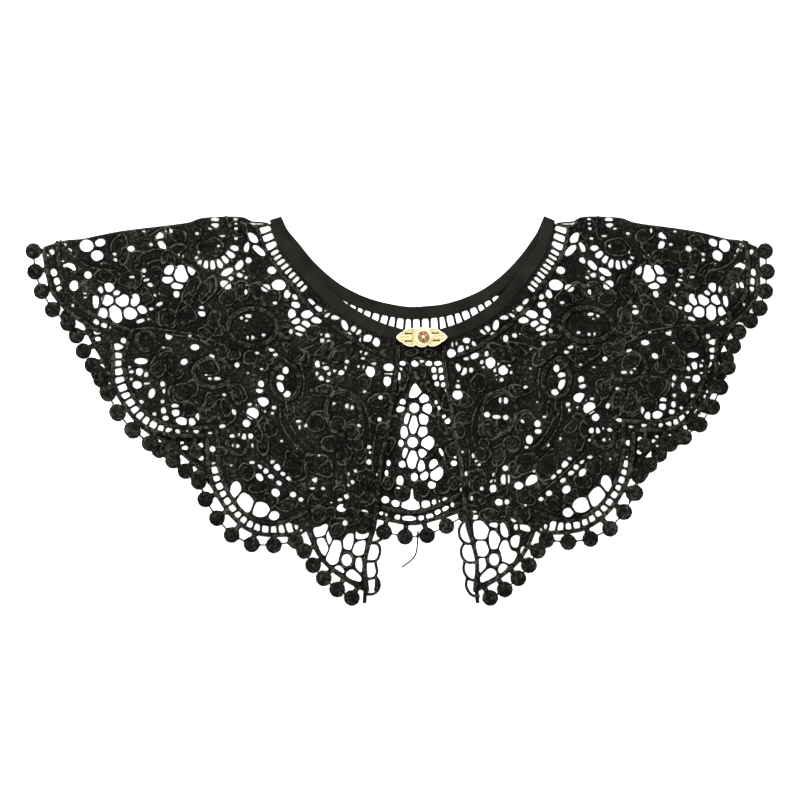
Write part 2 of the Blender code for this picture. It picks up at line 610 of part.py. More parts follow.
class Panel:
    """One lace panel: outlines that join, gaps cut through it, and the relief on its upper side."""

    def __init__(self, base):
        self.base = np.array(base, float)
        self.outlines = [self.base]
        self.gaps = []
        self.domes = []
        self.cords = []

    def add_balls(self, rows, turned=False, tuck=0.0):
        for count, cord, centres in rows:
            cord = laid(smooth(cord, FINE_STEP), turned, tuck)
            line = smooth(centres, FINE_STEP)
            evenly = np.linspace(0, len(line) - 1, count).round().astype(int)
            for centre in laid(line[evenly], turned, tuck):
                self.outlines.append(ball_outline(centre, cord))
                self.domes.append((*centre, BALL_RADIUS, BALL_RADIUS, 0, BALL_RISE))

    def add_motifs(self, motifs, turned=False):
        for _, x, y, half_length, half_width, turn in motifs:
            if turned:
                (x, y), turn = half_turned([(x, y)])[0], 180 - turn
            self.domes.append((x, y, half_length, half_width, turn, MOTIF_RISE))

    def add_cords(self, lines, turned=False, tuck=0.0):
        self.cords += [laid(smooth(line, CORD_STEP), turned, tuck) for line in lines]

    def add_rings(self, rings, turned=False):
        self.cords += [laid(ring_line(*ring), turned) for ring in rings]

    def relief(self, points):
        """How far the upper side stands above the ground at each point."""
        rise = np.zeros(len(points))
        for x, y, half_length, half_width, turn, height in self.domes:
            across, up = math.cos(math.radians(turn)), math.sin(math.radians(turn))
            dx, dy = points[:, 0] - x, points[:, 1] - y
            u = (dx * across + dy * up) / half_length
            v = (dy * across - dx * up) / half_width
            rise = np.maximum(rise, height * (1 - u**2 - v**2))
        for line in self.cords:
            near = distance_to(points, line, closed=False) / CORD_HALF
            rise = np.maximum(rise, CORD_RISE * (1 - near**2))
        return rise

    def relief_points(self):
        """Free points that carry the relief: along each cord, and in and round each padded motif."""
        found = [tuple(point) for line in self.cords for point in line]
        for x, y, half_length, half_width, turn, _ in self.domes:
            found.append((x, y))
            if half_length == BALL_RADIUS:
                continue
            found.extend(oval(x, y, MOTIF_SHOULDER * half_length, MOTIF_SHOULDER * half_width, turn, 5))
        return np.array(found)


def joined_edges(loops):
    points, edges = [], []
    for loop in loops:
        first, count = len(points), len(loop)
        points.extend(loop)
        edges.extend((first + i, first + (i + 1) % count) for i in range(count))
    return points, edges


def triangles_between(points, edges):
    """Delaunay triangles over the points, keeping the edges."""
    corners, _, faces, _, _, _ = delaunay_2d_cdt([tuple(p) for p in points], edges, [], 0, MERGE)
    return np.array([tuple(c) for c in corners]), np.array(faces)


def boundary_of(faces):
    """Directed edges that only one triangle has."""
    edges = {edge for a, b, c in faces for edge in ((a, b), (b, c), (c, a))}
    return sorted(edge for edge in edges if (edge[1], edge[0]) not in edges)


def panel_mesh(name, panel, level, lip=None):
    """A wall of the panel's outline and gaps: relief above, a plain underside at the level below.

    lip is the shoulder fold's line: the wall turns down along it to the ground that the collar lies on.
    """
    points, edges = joined_edges(panel.outlines + panel.gaps)
    if lip is not None:
        for drop in (LIP, LIP + SEAM):
            first = len(points)
            points.extend(lip - (0.0, drop))
            edges.extend((first + i, first + i + 1) for i in range(len(lip) - 1))
    free = panel.relief_points()
    clear = distance_to(free, panel.base) > RELIEF_CLEARANCE
    for gap in panel.gaps:
        clear &= ~inside(free, gap) & (distance_to(free, gap) > RELIEF_CLEARANCE)
    points.extend(free[clear])

    corners, faces = triangles_between(points, edges)
    centres = corners[faces].mean(axis=1)
    solid = np.zeros(len(faces), bool)
    for outline in panel.outlines:
        solid |= inside(centres, outline)
    for gap in panel.gaps:
        solid &= ~inside(centres, gap)
    faces = faces[solid]

    border = boundary_of(faces)
    used = {i for edge in border for i in edge}
    upper = level + GROUND + panel.relief(corners)
    lower = np.full(len(corners), float(level))
    floor_edges = list(border)
    if lip is not None:
        order = np.argsort(lip[:, 0])
        below = np.interp(corners[:, 0], lip[order, 0], lip[order, 1]) - corners[:, 1]
        lower[below < LIP + SEAM / 2] = 0.0
        upper[below < LIP / 2] -= 2 * SEAM
        sides = {tuple(sorted(side)) for a, b, c in faces for side in ((a, b), (b, c), (c, a))}
        for drop in (LIP, LIP + SEAM):
            on_line = abs(below - drop) < ON_LINE
            floor_edges += [side for side in sides if on_line[side[0]] and on_line[side[1]]]
        used |= {i for edge in floor_edges for i in edge}

    used = sorted(used)
    place = {corner: i for i, corner in enumerate(used)}
    floor_points, floor_faces = triangles_between(
        corners[used], [(place[a], place[b]) for a, b in floor_edges]
    )
    if len(floor_points) != len(used):
        raise ValueError(f"{name}: the underside has {len(floor_points)} points, not {len(used)}")
    floor_centres = floor_points[floor_faces].mean(axis=1)
    starts, stops = corners[[a for a, _ in border]], corners[[b for _, b in border]]
    floor_faces = floor_faces[inside_edges(floor_centres, starts, stops)]

    mesh = bmesh.new()
    top = {i: mesh.verts.new((*(corners[i] * MM), upper[i] * MM)) for i in sorted(set(faces.flat))}
    bottom = [mesh.verts.new((*(corners[i] * MM), lower[i] * MM)) for i in used]
    for a, b, c in faces:
        mesh.faces.new((top[a], top[b], top[c]))
    for a, b, c in floor_faces:
        mesh.faces.new((bottom[c], bottom[b], bottom[a]))
    for a, b in border:
        mesh.faces.new((top[b], top[a], bottom[place[a]], bottom[place[b]]))
    return finished(name, mesh)


def finished(name, mesh):
    """Makes the object from its mesh, in triangles with their faces outward."""
    bmesh.ops.triangulate(mesh, faces=mesh.faces)
    bmesh.ops.recalc_face_normals(mesh, faces=mesh.faces)
    data = bpy.data.meshes.new(name)
    mesh.to_mesh(data)
    mesh.free()
    made = bpy.data.objects.new(name, data)
    bpy.context.scene.collection.objects.link(made)
    return made


def cord_edge(cord):
    """The outer edge of a hem's cord."""
    return list(shifted(smooth(cord, EDGE_STEP), -CORD_HALF))


def front_neck_edge():
    """The lace's neck edge of a front, a seam's width clear of the binding, from the fold to the front edge."""
    edge = shifted(smooth(NECK_FRONT, EDGE_STEP), -(BINDING_WIDTH / 2 + SEAM))
    return edge[edge[:, 0] < FRONT_EDGE[-1][0] - FRONT_EDGE_CLEARANCE]


def front_gaps(base):
    """The gaps of a front, largest first; its neck ladder and picots come with them."""
    gaps = ladder(NECK_CORD, front_neck_edge(), cord=1.1) + oval_gaps(SHARED_GAPS + TIP_GAPS)
    for outer, inner in ((HEM_ONE, INNER_ONE), (HEM_TWO, INNER_TWO), (HEM_THREE, INNER_THREE)):
        gaps += ladder(outer, inner)
    return fitted(largest_first(gaps), base, GAPS_A_FRONT - len(PICOTS))


def front_outline():
    """A front's edge: shoulder fold, scallops, tip, front edge and neck."""
    base = list(FOLD)
    for hem in (HEM_ONE, HEM_TWO, HEM_THREE, HEM_TIP):
        base += cord_edge(hem)
    base += list(TIP) + list(smooth(FRONT_EDGE, 2 * EDGE_STEP)) + list(front_neck_edge()[::-1])
    return np.array(base)


def front_panel(turned):
    """A front, folded forward over the shoulder, with its balls and the picots beside its tip."""
    base = front_outline()
    panel = Panel(laid(base, turned))
    loops = [oval(x, y, high + wide, across + wide, 90, 7) for x, y, high, across, wide in PICOTS]
    holes = [oval(x, y, high, across, 90, 6) for x, y, high, across, wide in PICOTS]
    panel.gaps = [laid(gap, turned) for gap in front_gaps(base) + holes]
    panel.outlines += [laid(loop, turned) for loop in loops]
    panel.add_balls(FRONT_BALLS, turned)
    panel.add_cords((HEM_ONE, HEM_TWO, HEM_THREE, HEM_TIP, FRONT_EDGE), turned)
    panel.add_cords((INNER_ONE, INNER_TWO, INNER_THREE, NECK_CORD), turned)
    panel.add_motifs(SHARED_MOTIFS + FRONT_MOTIFS, turned)
    panel.add_rings(SHARED_RINGS + FRONT_RINGS, turned)
    return panel


def back_neck_edge():
    ends = (NECK_FRONT[0],), half_turned((NECK_FRONT[0],))
    line = smooth(tuple(ends[0]) + NECK_BACK + tuple(ends[1]), EDGE_STEP)
    edge = shifted(line, -(BINDING_WIDTH / 2 + SEAM))
    return edge[edge[:, 1] < FOLD[0][1] - LIP - 2 * SEAM - NECK_END_CLEARANCE]


def back_panel():
    """The whole back, from shoulder fold to shoulder fold, with its centre scallop."""
    fold = [(x, y - LIP - 2 * SEAM) for x, y in BACK_FOLD]
    half = fold + cord_edge(BACK_HEM) + cord_edge(HEM_THREE[3:]) + list(BACK_VALLEY[1:-1])
    neck = back_neck_edge()
    other = laid(half, True, BACK_TUCK)[::-1]
    base = np.array(half + cord_edge(BACK_HEM_CENTRE) + list(other) + list(neck[::-1]))
    panel = Panel(base)

    under_neck = shifted(smooth(NECK_BACK, EDGE_STEP), -(BINDING_WIDTH / 2 + NECK_LADDER_DEPTH))
    shown = oval_gaps(CENTRE_GAPS) + ladder(BACK_HEM_CENTRE, INNER_CENTRE)
    shown += ladder(under_neck[NECK_LADDER_ENDS[0]:-NECK_LADDER_ENDS[1]], neck, cord=0.6, widest=14.0)
    shared = front_gaps(front_outline())
    both = [laid(gap, turned) for gap in shared for turned in (False, True)]
    panel.gaps = fitted(both, base, GAPS_IN_BACK, fitted(largest_first(shown), base, GAPS_IN_BACK))

    panel.add_cords((BACK_HEM_CENTRE, INNER_CENTRE))
    panel.add_balls((CENTRE_BALLS,))
    panel.add_motifs(CENTRE_MOTIFS)
    for turned in (False, True):
        panel.add_balls(BACK_BALLS, turned, BACK_TUCK)
        panel.add_cords((BACK_HEM, HEM_THREE), turned, BACK_TUCK)
        panel.add_cords((INNER_TWO, INNER_THREE), turned)
        panel.add_motifs(SHARED_MOTIFS, turned)
        panel.add_rings(SHARED_RINGS, turned)
    return panel


def binding_stations():
    """Stations along the binding: place, the way it runs, and that way on the plan.

    It runs down from the clasp end of one front, under at the shoulder fold, round the back and up again.
    """
    front = smooth(NECK_FRONT, BINDING_STEP)[::-1]
    other = laid(front, True)[::-1]
    back = smooth((front[-1], *NECK_BACK, other[0]), BINDING_STEP)
    over, under = LAYER + BINDING_THICK / 2, BINDING_THICK / 2
    middle, radius = (over + under) / 2, (over - under) / 2
    stations = []

    def run(path, height):
        along = np.gradient(path, axis=0)
        along /= np.linalg.norm(along, axis=1)[:, None]
        for place, way in zip(path, along):
            stations.append((np.array([*place, height]), np.array([*way, 0.0]), way))

    def turn(place, down):
        way = stations[-1][2]
        for angle in (math.pi / 4, math.pi / 2, 3 * math.pi / 4):
            ahead, height = radius * math.sin(angle), down * radius * math.cos(angle)
            spot = np.array([*(place + ahead * way), middle + height])
            stations.append((spot, np.array([*(math.cos(angle) * way), -down * math.sin(angle)]), way))

    run(front, over)
    turn(front[-1], 1)
    run(back, under)
    turn(back[-1], -1)
    run(other, over)
    return stations


def neck_binding():
    """The folded bias strip, a flat section with eased edges swept along its stations."""
    half, thick, ease = BINDING_WIDTH / 2, BINDING_THICK / 2, BINDING_EASE
    section = (
        (-half + ease, -thick), (half - ease, -thick), (half, 0.0), (half - ease, thick), (-half + ease, thick),
        (-half, 0.0),
    )
    mesh = bmesh.new()
    rings, facing = [], None
    for spot, tangent, way in binding_stations():
        across = np.array([-way[1], way[0], 0.0])
        if facing is not None and across @ facing < 0:
            across = -across
        facing = across
        up = np.cross(tangent, across)
        rings.append([mesh.verts.new((spot + u * across + v * up) * MM) for u, v in section])
    skin_between(mesh, rings)
    return finished("neck_binding", mesh)


def skin_between(mesh, rings):
    """Faces from each ring to the next, and one at each end."""
    count = len(rings[0])
    for one, two in zip(rings, rings[1:]):
        for i in range(count):
            mesh.faces.new((one[i], one[(i + 1) % count], two[(i + 1) % count], two[i]))
    mesh.faces.new(rings[0][::-1])
    mesh.faces.new(rings[-1])


# Half of the clasp's outline, from its point to its middle: x, half width
CLASP_EDGE = (
    (17.0, 0.0), (14.5, 2.5), (12.0, 4.0), (10.5, 5.0), (7.5, 6.0), (6.0, 5.0), (4.0, 6.0), (0.0, 6.5),
)
# Slots in each arm: x, y, half length, half width
CLASP_SLOTS = ((9.5, 3.0, 1.5, 0.5), (9.5, -3.0, 1.5, 0.5), (10.0, 0.0, 3.0, 0.5))


def clasp_half(name, low, high, level):
    """One cast half: the outline between two cuts across it, a little crowned, and pierced by its slots."""
    upper = list(CLASP_EDGE) + [(-x, y) for x, y in CLASP_EDGE[-2::-1]]
    outline = np.array(upper + [(x, -y) for x, y in upper[-2:0:-1]])
    wide = PAST_PLATE[1]
    cut = np.array([(low, -wide), (high, -wide), (high, wide), (low, wide)])
    slots = [oval(side * x, y, a, b, 0, 6) for x, y, a, b in CLASP_SLOTS for side in (-1, 1)]
    slots = [slot for slot in slots if inside(slot, cut).all()]
    points, edges = joined_edges([outline, cut] + slots)
    points += [(x, 0.0) for x in CROWN_STATIONS if low < x < high]
    corners, faces = triangles_between(points, edges)
    centres = corners[faces].mean(axis=1)
    solid = inside(centres, outline) & inside(centres, cut)
    for slot in slots:
        solid &= ~inside(centres, slot)
    faces = faces[solid]
    turn = math.radians(CLASP_TURN)
    mesh = bmesh.new()
    top, bottom = {}, {}
    for i in sorted(set(faces.flat)):
        x, y = corners[i]
        crown = PLATE_CROWN * max(0.0, 1 - (y / CLASP_EDGE[-1][1]) ** 2)
        spot = (
            CLASP_MIDDLE[0] + x * math.cos(turn) - y * math.sin(turn),
            CLASP_MIDDLE[1] + x * math.sin(turn) + y * math.cos(turn),
        )
        top[i] = mesh.verts.new((spot[0] * MM, spot[1] * MM, (level + PLATE_THICK + crown) * MM))
        bottom[i] = mesh.verts.new((spot[0] * MM, spot[1] * MM, level * MM))
    for a, b, c in faces:
        mesh.faces.new((top[a], top[b], top[c]))
        mesh.faces.new((bottom[c], bottom[b], bottom[a]))
    for a, b in boundary_of(faces):
        mesh.faces.new((top[b], top[a], bottom[a], bottom[b]))
    return finished(name, mesh)


# Rings of the rosette, from its foot up: reach, height, depth of its five lobes
ROSETTE_RINGS = (
    (1.0, 0.0, 0.0), (1.04, 0.6, 0.12), (0.78, 1.25, 0.1), (0.5, 1.05, 0.0), (0.4, 1.8, 0.0), (0.2, 2.2, 0.0),
)
ROSETTE_SIDES = 20
LOBES = 5


def clasp_rosette(level):
    """The raised round middle: five lobes round a bead."""
    mesh = bmesh.new()
    rings = []
    for reach, height, lobe in ROSETTE_RINGS:
        ring = []
        for i in range(ROSETTE_SIDES):
            angle = 2 * math.pi * i / ROSETTE_SIDES
            radius = ROSETTE_RADIUS * (reach + lobe * math.cos(LOBES * angle))
            x = CLASP_MIDDLE[0] + radius * math.cos(angle)
            y = CLASP_MIDDLE[1] + radius * math.sin(angle)
            ring.append(mesh.verts.new((x * MM, y * MM, (level + height) * MM)))
        rings.append(ring)
    skin_between(mesh, rings)
    return finished("clasp_rosette", mesh)


def material(name, colour, roughness, metallic=0.0):
    made = bpy.data.materials.new(name)
    made.use_nodes = True
    shader = made.node_tree.nodes["Principled BSDF"]
    shader.inputs["Base Color"].default_value = (*colour, 1.0)
    shader.inputs["Roughness"].default_value = roughness
    shader.inputs["Metallic"].default_value = metallic
    return made


def centred(objects):
    """Moves every mesh so that the whole part's box has its middle over the origin."""
    spots = np.concatenate([[tuple(v.co) for v in made.data.vertices] for made in objects])
    middle = (spots.max(axis=0) + spots.min(axis=0)) / 2
    for made in objects:
        for vertex in made.data.vertices:
            vertex.co.x -= middle[0]
            vertex.co.y -= middle[1]
    print(f"the centre front line and chest lie at {-middle[0] / MM:.2f}, {-middle[1] / MM:.2f} mm")


def main():
    for old in list(bpy.data.objects):
        bpy.data.objects.remove(old, do_unlink=True)
    thread = material("black rayon thread", (0.012, 0.011, 0.01), 0.55)
    tape = material("black cotton bias tape", (0.015, 0.014, 0.013), 0.85)
    gilt = material("pale gilt casting", (0.83, 0.66, 0.34), 0.28, 1.0)
    amber = material("amber enamel", (0.62, 0.4, 0.16), 0.25)
    fold = np.array(FOLD)
    plate = LAYER + BINDING_THICK + SEAM
    pieces = (
        (panel_mesh("lace_back", back_panel(), 0.0), thread),
        (panel_mesh("lace_front_left", front_panel(False), LAYER, fold), thread),
        (panel_mesh("lace_front_right", front_panel(True), LAYER, laid(fold, True)), thread),
        (neck_binding(), tape),
        (clasp_half("clasp_eye_half", -PAST_PLATE[0], CLASP_SPLIT - SEAM / 2, plate), gilt),
        (clasp_half("clasp_hook_half", CLASP_SPLIT + SEAM / 2, PAST_PLATE[0], plate), gilt),
        (clasp_rosette(plate + PLATE_THICK + PLATE_CROWN + SEAM), amber),
    )
    for piece, finish in pieces:
        piece.data.materials.append(finish)
    centred([piece for piece, _ in pieces])


main()
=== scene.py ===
import math

import bmesh
import bpy
import numpy as np
from mathutils.geometry import delaunay_2d_cdt
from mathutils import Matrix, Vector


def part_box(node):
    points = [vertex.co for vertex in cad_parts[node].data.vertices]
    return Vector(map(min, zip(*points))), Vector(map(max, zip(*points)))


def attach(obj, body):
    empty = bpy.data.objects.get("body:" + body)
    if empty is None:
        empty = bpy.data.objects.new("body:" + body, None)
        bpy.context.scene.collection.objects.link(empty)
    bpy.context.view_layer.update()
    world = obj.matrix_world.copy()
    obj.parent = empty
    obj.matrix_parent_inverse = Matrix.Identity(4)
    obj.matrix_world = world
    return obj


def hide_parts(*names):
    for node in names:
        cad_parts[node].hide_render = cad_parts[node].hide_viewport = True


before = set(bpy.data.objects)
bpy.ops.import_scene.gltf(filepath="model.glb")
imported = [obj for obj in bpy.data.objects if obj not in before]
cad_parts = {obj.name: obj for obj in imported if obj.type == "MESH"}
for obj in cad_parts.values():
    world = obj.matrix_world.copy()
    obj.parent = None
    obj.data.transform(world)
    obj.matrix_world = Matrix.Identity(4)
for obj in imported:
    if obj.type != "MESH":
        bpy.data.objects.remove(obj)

# A black guipure lace collar, laid flat and closed, with both fronts folded over the back at the shoulders.
# Sizes are in millimetres. The half pattern is drawn at negative X, from the centre front line and the
# middle of the chest. half_turned() gives the other half, which has its own gaps over the chest and its own
# net at the tip.

MM = 0.001

# Lace wall
GROUND = 1.0  # thickness of the embroidered ground
EDGE, ROUND = 0.45, 0.75  # thickness left at an edge, and width of the rounding along it
EDGE_RELIEF, RELIEF_RAMP = 0.35, 0.5  # the part of the relief left at an edge, and the ramp to the rest
LAYER = 2.3  # height of the fronts' underside over the back's
LIP = 1.2  # thickness of the turned edge along the shoulder fold
FOLD_LUMPS = 0.35  # how far that edge wanders over the motifs in it
SEAM = 0.3  # clearance between pieces that meet
NECK_TUCK = 1.2  # how far the lace goes into the folded binding
NECK_RISE = 1.5  # width over which its relief comes up again below the binding

# The fine grids that the lace is drawn over
FRONT_PITCH = 0.63  # spacing of the points on the fronts
BACK_FINE, BACK_COARSE = 0.66, 1.4  # spacing across the back, in its middle and where the fronts cover it
BACK_ROWS = 0.76  # spacing of the back's rows
BACK_FINE_REACH = 50.0  # how far its middle goes each way
MARGIN = 30.0  # room round the outline, for the balls
FAR = 3.0  # how far an edge is measured to
NOTHING_NEAR = 12.0  # distance noted where no cord or motif is near
LEAST_STEP = 0.06  # nearest that an edge comes to a point of the grid, in steps
LINE, FINE_LINE = 1.2, 0.5  # spacing of the points along a cord, and along a row of balls
OUTLINE_STEP, HEM_STEP = 2.0, 1.5  # and along the outline
LIP_STEP = 2.0  # and along the turned edge's inner side
RING_STEP, OVAL_SIDES = 8, 22  # degrees from point to point of a ring, and corners of an oval gap

# Corded lines: half width, height over the ground, and the strength of the painted highlight along the top,
# from 0 to 1
HEM_HALF, CORD_RISE, CORD_HIGHLIGHT = 1.4, 0.8, 0.6
RING_HALF = 1.5
EYELET_HALF, EYELET_RISE = 1.05, 0.6
STEM_HALF, STEM_RISE, STEM_HIGHLIGHT = 0.6, 0.5, 0.8
PICOT_HALF, PICOT_HIGHLIGHT = 0.95, 0.5
KNOT_HALF, KNOT_HIGHLIGHT = 1.7, 0.2
LOOSE_HALF, LOOSE_RISE = 0.5, 0.2
BALL_NECK_HALF, BALL_NECK_RISE = 1.7, 0.45
BALL_THREAD_HALF, BALL_THREAD_RISE = 0.45, 0.2
TWIST, TWIST_RISE, TWIST_SLANT = 2.6, 0.1, 3.0  # a cord's twist: pitch along it, height, pitch across
FOLLOWED = 6.0  # how far beside a cord or motif the ground's stitches follow it
CORD_OVER = 0.15  # how much lower a cord may be than what it crosses
GLINT = 3  # how closely the light keeps to the top of a cord, as a power

# Padded motifs
MOTIF_RISE = 0.95  # how far a padded petal or leaf stands above the ground
PAD_EDGE, PAD_MIDDLE = 0.45, 0.4  # the part of it that is there at the edge, and what the middle adds
SKIRT, SKIRT_RAMP = 0.25, 0.3  # how far its stitches reach past its edge, and the width over which they rise
RIM, RIM_WIDTH = 0.5, 0.34  # height and breadth of the outline stitched round it
RIM_IN, SECOND_RIM_IN = 0.4, 2.3  # how far inside its edge its two outlines run
SECOND_RIM = 0.6 * RIM  # height of the second one
GROOVE, GROOVE_WIDTH = 0.3, 0.5  # depth and breadth of the groove between them
RIM_LIGHT, SECOND_RIM_LIGHT, GROOVE_SHADE, PAD_TONE = 1.9, 1.3, 0.4, 0.05  # painted highlight on each outline, painted shade in the groove, and the pad's base level
RIB = 1.9  # spacing of the fanned stitches, coarser than the real 0.4 mm
PAD_RIB = 0.1  # height of those stitches
RIB_START, RIB_RAMP = 0.5, 1.2  # where in from the edge they start to show
# how far behind the middle they fan out from, and how far from there they lie a RIB apart, in half lengths
FAN_FOOT, FAN_SPREAD = 1.5, 2.4
WANDER = 0.65  # how far a motif's outline strays from its drawn shape

# Ground between the motifs: rows of stitches that echo their edges
ECHO, ECHO_RISE = 2.1, 0.15  # spacing and height of the rows
FIRST_ROW = 1.3  # how far the first row lies from a motif's edge
ROW_STRAY = 0.35  # how far a row wanders
STITCH_RISE, STITCH_SHIFT = 0.12, 1.7  # height of the stitches that cross a row, and their turn row to row
PLAIN_FROM, PLAIN_RAMP = 5.5, 2.0  # where the ground is plain, and the width over which its rows fade
PLAIN_RISE = 0.02  # height of the plain ground
# Width, depth and steepness of the low ground beside a cord or motif, and of the raised stitches at a gap
MOAT, MOAT_DEPTH, MOAT_FULL = 0.7, 0.5, 1.2
SELVEDGE, SELVEDGE_RISE, SELVEDGE_FULL = 0.6, 0.15, 1.3
GROUND_TONE, GROUND_LIGHT, SELVEDGE_LIGHT = 0.12, 0.8, 0.3  # the ground's base level, painted light and shade that follow its height, and painted highlight on the raised stitches at a gap
UNDERSIDE_TONE = 0.2

# Gaps in the ground
BAR, TIP_BAR = 1.6, 1.25  # width of the bar left between two gaps, and in the net of the tip
NET_GROW, NET_REACH = 0.9, 3.6  # how far a gap is drawn out toward a neighbour, and how near that must be
NET_EASE, SMALL_EASE = -0.25, -0.1  # how far a gap is let out, or below 0 drawn in, in a net and elsewhere
LADDER_PITCH, LADDER_CLEAR, LADDER_RUNG = 5.8, 1.2, 0.3  # pitch, room beside the cords, half width of a rung
LADDER_LEAST, LADDER_WIDEST = 2.0, 11.0
THIRD_LADDER_TOP = -38.0  # where the ladder of the third scallop ends
# Rungs under the neck binding, from the fold down: first and last Y, pitch, half width of a rung, and how
# far the gaps stay clear of the cord and the binding
NECK_RUNGS = ((119.5, 102.5, 5.6, 0.4, 0.9), (102.5, 74.0, 3.9, 1.0, 1.9))
NECK_LEAST = 1.0
# The back's ladder: how far below the binding its cord runs, in what steps, and which of those have gaps
BACK_LADDER_DROP, BACK_LADDER_STEP, BACK_LADDER_SHOWN = 9.5, 4.0, slice(8, -12)
BACK_LADDER_CLEAR, BACK_LADDER_WIDEST = 0.4, 14.0

# Hem balls
BALL_RADIUS, BALL_RISE = 5.2, 1.0  # radius, and how far the middle stands above the rim
BALL_TONE = 0.25
BALL_SKIRT = 0.2  # how far its windings reach past its rim
BALL_LUMPS = ((7, 0.012), (12, 0.014))  # lumps round the rim: how many, and how high in radii
BALL_WINDINGS, WINDING_RISE = 11, 0.05  # turns of thread over the core that show
BALL_DIMPLE, DIMPLE_RADIUS = 0.16, 0.7

# Neck binding
BINDING_WIDTH = 8.0
BINDING_THICK = 1.7
BINDING_STEP = 0.7  # spacing of the strip's sections
BINDING_EASE = 0.5  # rounding of its two edges
FOLD_STEP = 15  # degrees between sections where the strip turns under
CORNERS_ACROSS, CORNERS_ROUND = 13, 5
STITCH_IN = 1.1  # how far the row of stitches runs inside the strip's outer edge
STITCH_PITCH, STITCH_LONG = 2.6, 1.8
STITCH_GROOVE, STITCH_GROOVE_WIDTH, STITCH_FILL = 0.24, 0.45, 0.75  # depth, width, part a stitch fills
PUCKER, PUCKER_PITCH = 0.09, 7.3
PUCKER_DRIFT, DRIFT_PITCH = 0.8, 19.0  # how the puckers crowd and spread

# Clasp
CLASP_MIDDLE = (0.5, 48.0)
CLASP_TURN = 0.5  # degrees
CLASP_SPLIT = -5.8  # where the eye half meets the hook half
CLASP_REACH = 20.0  # past the end of either half
PLATE_LEVEL = LAYER + BINDING_THICK + SEAM  # height of the casting's underside
PLATE_THICK, PLATE_RIM, PLATE_FIELD = 1.2, 0.65, 0.3  # the casting, its raised edge, depth of its field
PLATE_SLOPE = 0.35  # width of the slope from the edge to the field
CLASP_SLOT = (1.7, 0.42, 0.62)  # half length, half width, radius of each flared end
SLOT_PLACES = ((-8.7, 2.4), (-8.7, -2.5), (8.9, 2.5), (9.4, -2.3))
SLOT_CUT, FLARE_CUT = 4.0, 5.0  # how far their cutters reach each way through the casting
ARM_LOOPS = ((-10.9, -0.1), (10.8, 0.6))
LOOP_HALF, LOOP_RADIUS, LOOP_WIRE = 3.9, 1.15, 0.3
LOOP_SUNK = 0.2  # how far its wire's middle lies below the raised edge
CLASP_BOSS = (1.1, 0.2)  # middle of the boss and its flower
BOSS_RADIUS, BOSS_THICK, BOSS_LIFT = 5.3, 0.75, 0.3  # and how high its middle stands
BOSS_RIM, BOSS_SLOPE, BOSS_DISH = 0.3, 0.25, 0.3  # width of its rim, width and depth of the slope inside
FLOWER_RADIUS, FLOWER_DISH = 3.8, 0.5  # radius and thickness of its dish
FLOWER_LIFT = 0.5  # how high that lies over the casting, besides the clearance
PETALS, PETAL_REACH = 5, 2.35
PETAL_RADIUS, PETAL_LEVEL, PETAL_RISE = 1.3, 0.45, 0.65
BEAD_RADIUS, BEAD_LEVEL, BEAD_RISE = 1.35, 0.8, 0.9
CAST_EDGE, DISH_EDGE = 0.12, 0.18  # width of the bevels that round off the edges
BEVEL_ABOVE, ARM_SMOOTH, FLOWER_SMOOTH = 40, 35, 50  # degrees

# Patterns of the finishes, in millimetres. Those under 1 mm are drawn coarser than the real ones, to show.
THREAD_SPACING = 0.4488  # threads laid side by side
THREAD_FUZZ = 1.111
THREAD_PATCHES, THREAD_FADING = 1.613, 26.32  # small patches, a random mottle that also stands for painted glints, and broad random patches
STITCH_GLINTS = 3.03  # stretches of thread that catch the light
WEAVE_SPACING, WEAVE_BLOTCHES = 0.6042, 16.67  # ribs of the bias tape, and its broad lighter patches
CASTING_GRAIN, ENAMEL_SWIRL = 1.111, 2.0

# Studio, in metres
FLOOR_SIZE, FLOOR_GLOW, SKY_LIGHT = 4.0, 0.75, 0.66
# Name, place and size in metres, and watts
LAMPS = (("key", (-0.7, 0.8, 0.9), 0.4, 24.0), ("fill", (0.9, -0.5, 1.2), 1.2, 7.0))
CAMERA_PLACE, CAMERA_WIDTH = (-0.0001, 0.00707, 0.9), 0.52

# How the other half lies: drawn in past a reach, leaning in above a height, and lifted below the shoulder
DRAW_FROM_REACH, DRAW_RATE = 110.0, 0.001
LEAN_FROM_Y, LEAN_RATE = 49.5, 0.15
LIFT, LIFT_REACHES, LIFT_HEIGHTS = 4.0, (75.0, 115.0), (30.0, 75.0)
BACK_TUCK, TUCK_REACHES = 4.5, (130.0, 165.0)  # the back's hem lies further in there

# Edges of the half pattern, each a curve through these points (x, y)
FOLD = (
    (-98.5, 121.5), (-111, 121.5), (-115.5, 126), (-129.5, 126.5), (-143, 125.5), (-150, 123),
    (-159, 121.5), (-176, 119.5), (-195.5, 117), (-208.5, 114.5), (-220.5, 112), (-231.5, 111), (-245, 107),
)
HEM_ONE = ((-245, 104), (-243, 90.5), (-240, 78.5), (-234, 70), (-227.5, 63.5), (-219, 57.5), (-210, 52))
HEM_TWO = (
    (-201, 45), (-200, 34.5), (-200, 19.5), (-195.5, 8.5), (-188, -2.5), (-179.5, -10), (-168.5, -14.5),
    (-156.5, -16), (-141.5, -16.5),
)
HEM_THREE = (
    (-139, -19), (-138.5, -30.5), (-136, -45.5), (-132, -54.5), (-127, -63), (-120, -71), (-113, -76.5),
    (-103.5, -80), (-91, -80.5), (-78.5, -79.5),
)
HEM_TIP = ((-73.5, -77.5), (-70, -86), (-65, -95), (-57.5, -103), (-48.5, -109.5), (-40, -114.5))
TIP = ((-37.5, -117), (-38, -125), (-35.5, -125))
FRONT_EDGE = (
    (-35, -116.5), (-36.5, -100), (-34, -87), (-30.5, -75.5), (-28.5, -59), (-26, -33), (-23, -19),
    (-21, -6), (-18, 11), (-15.5, 28), (-15, 41.5),
)
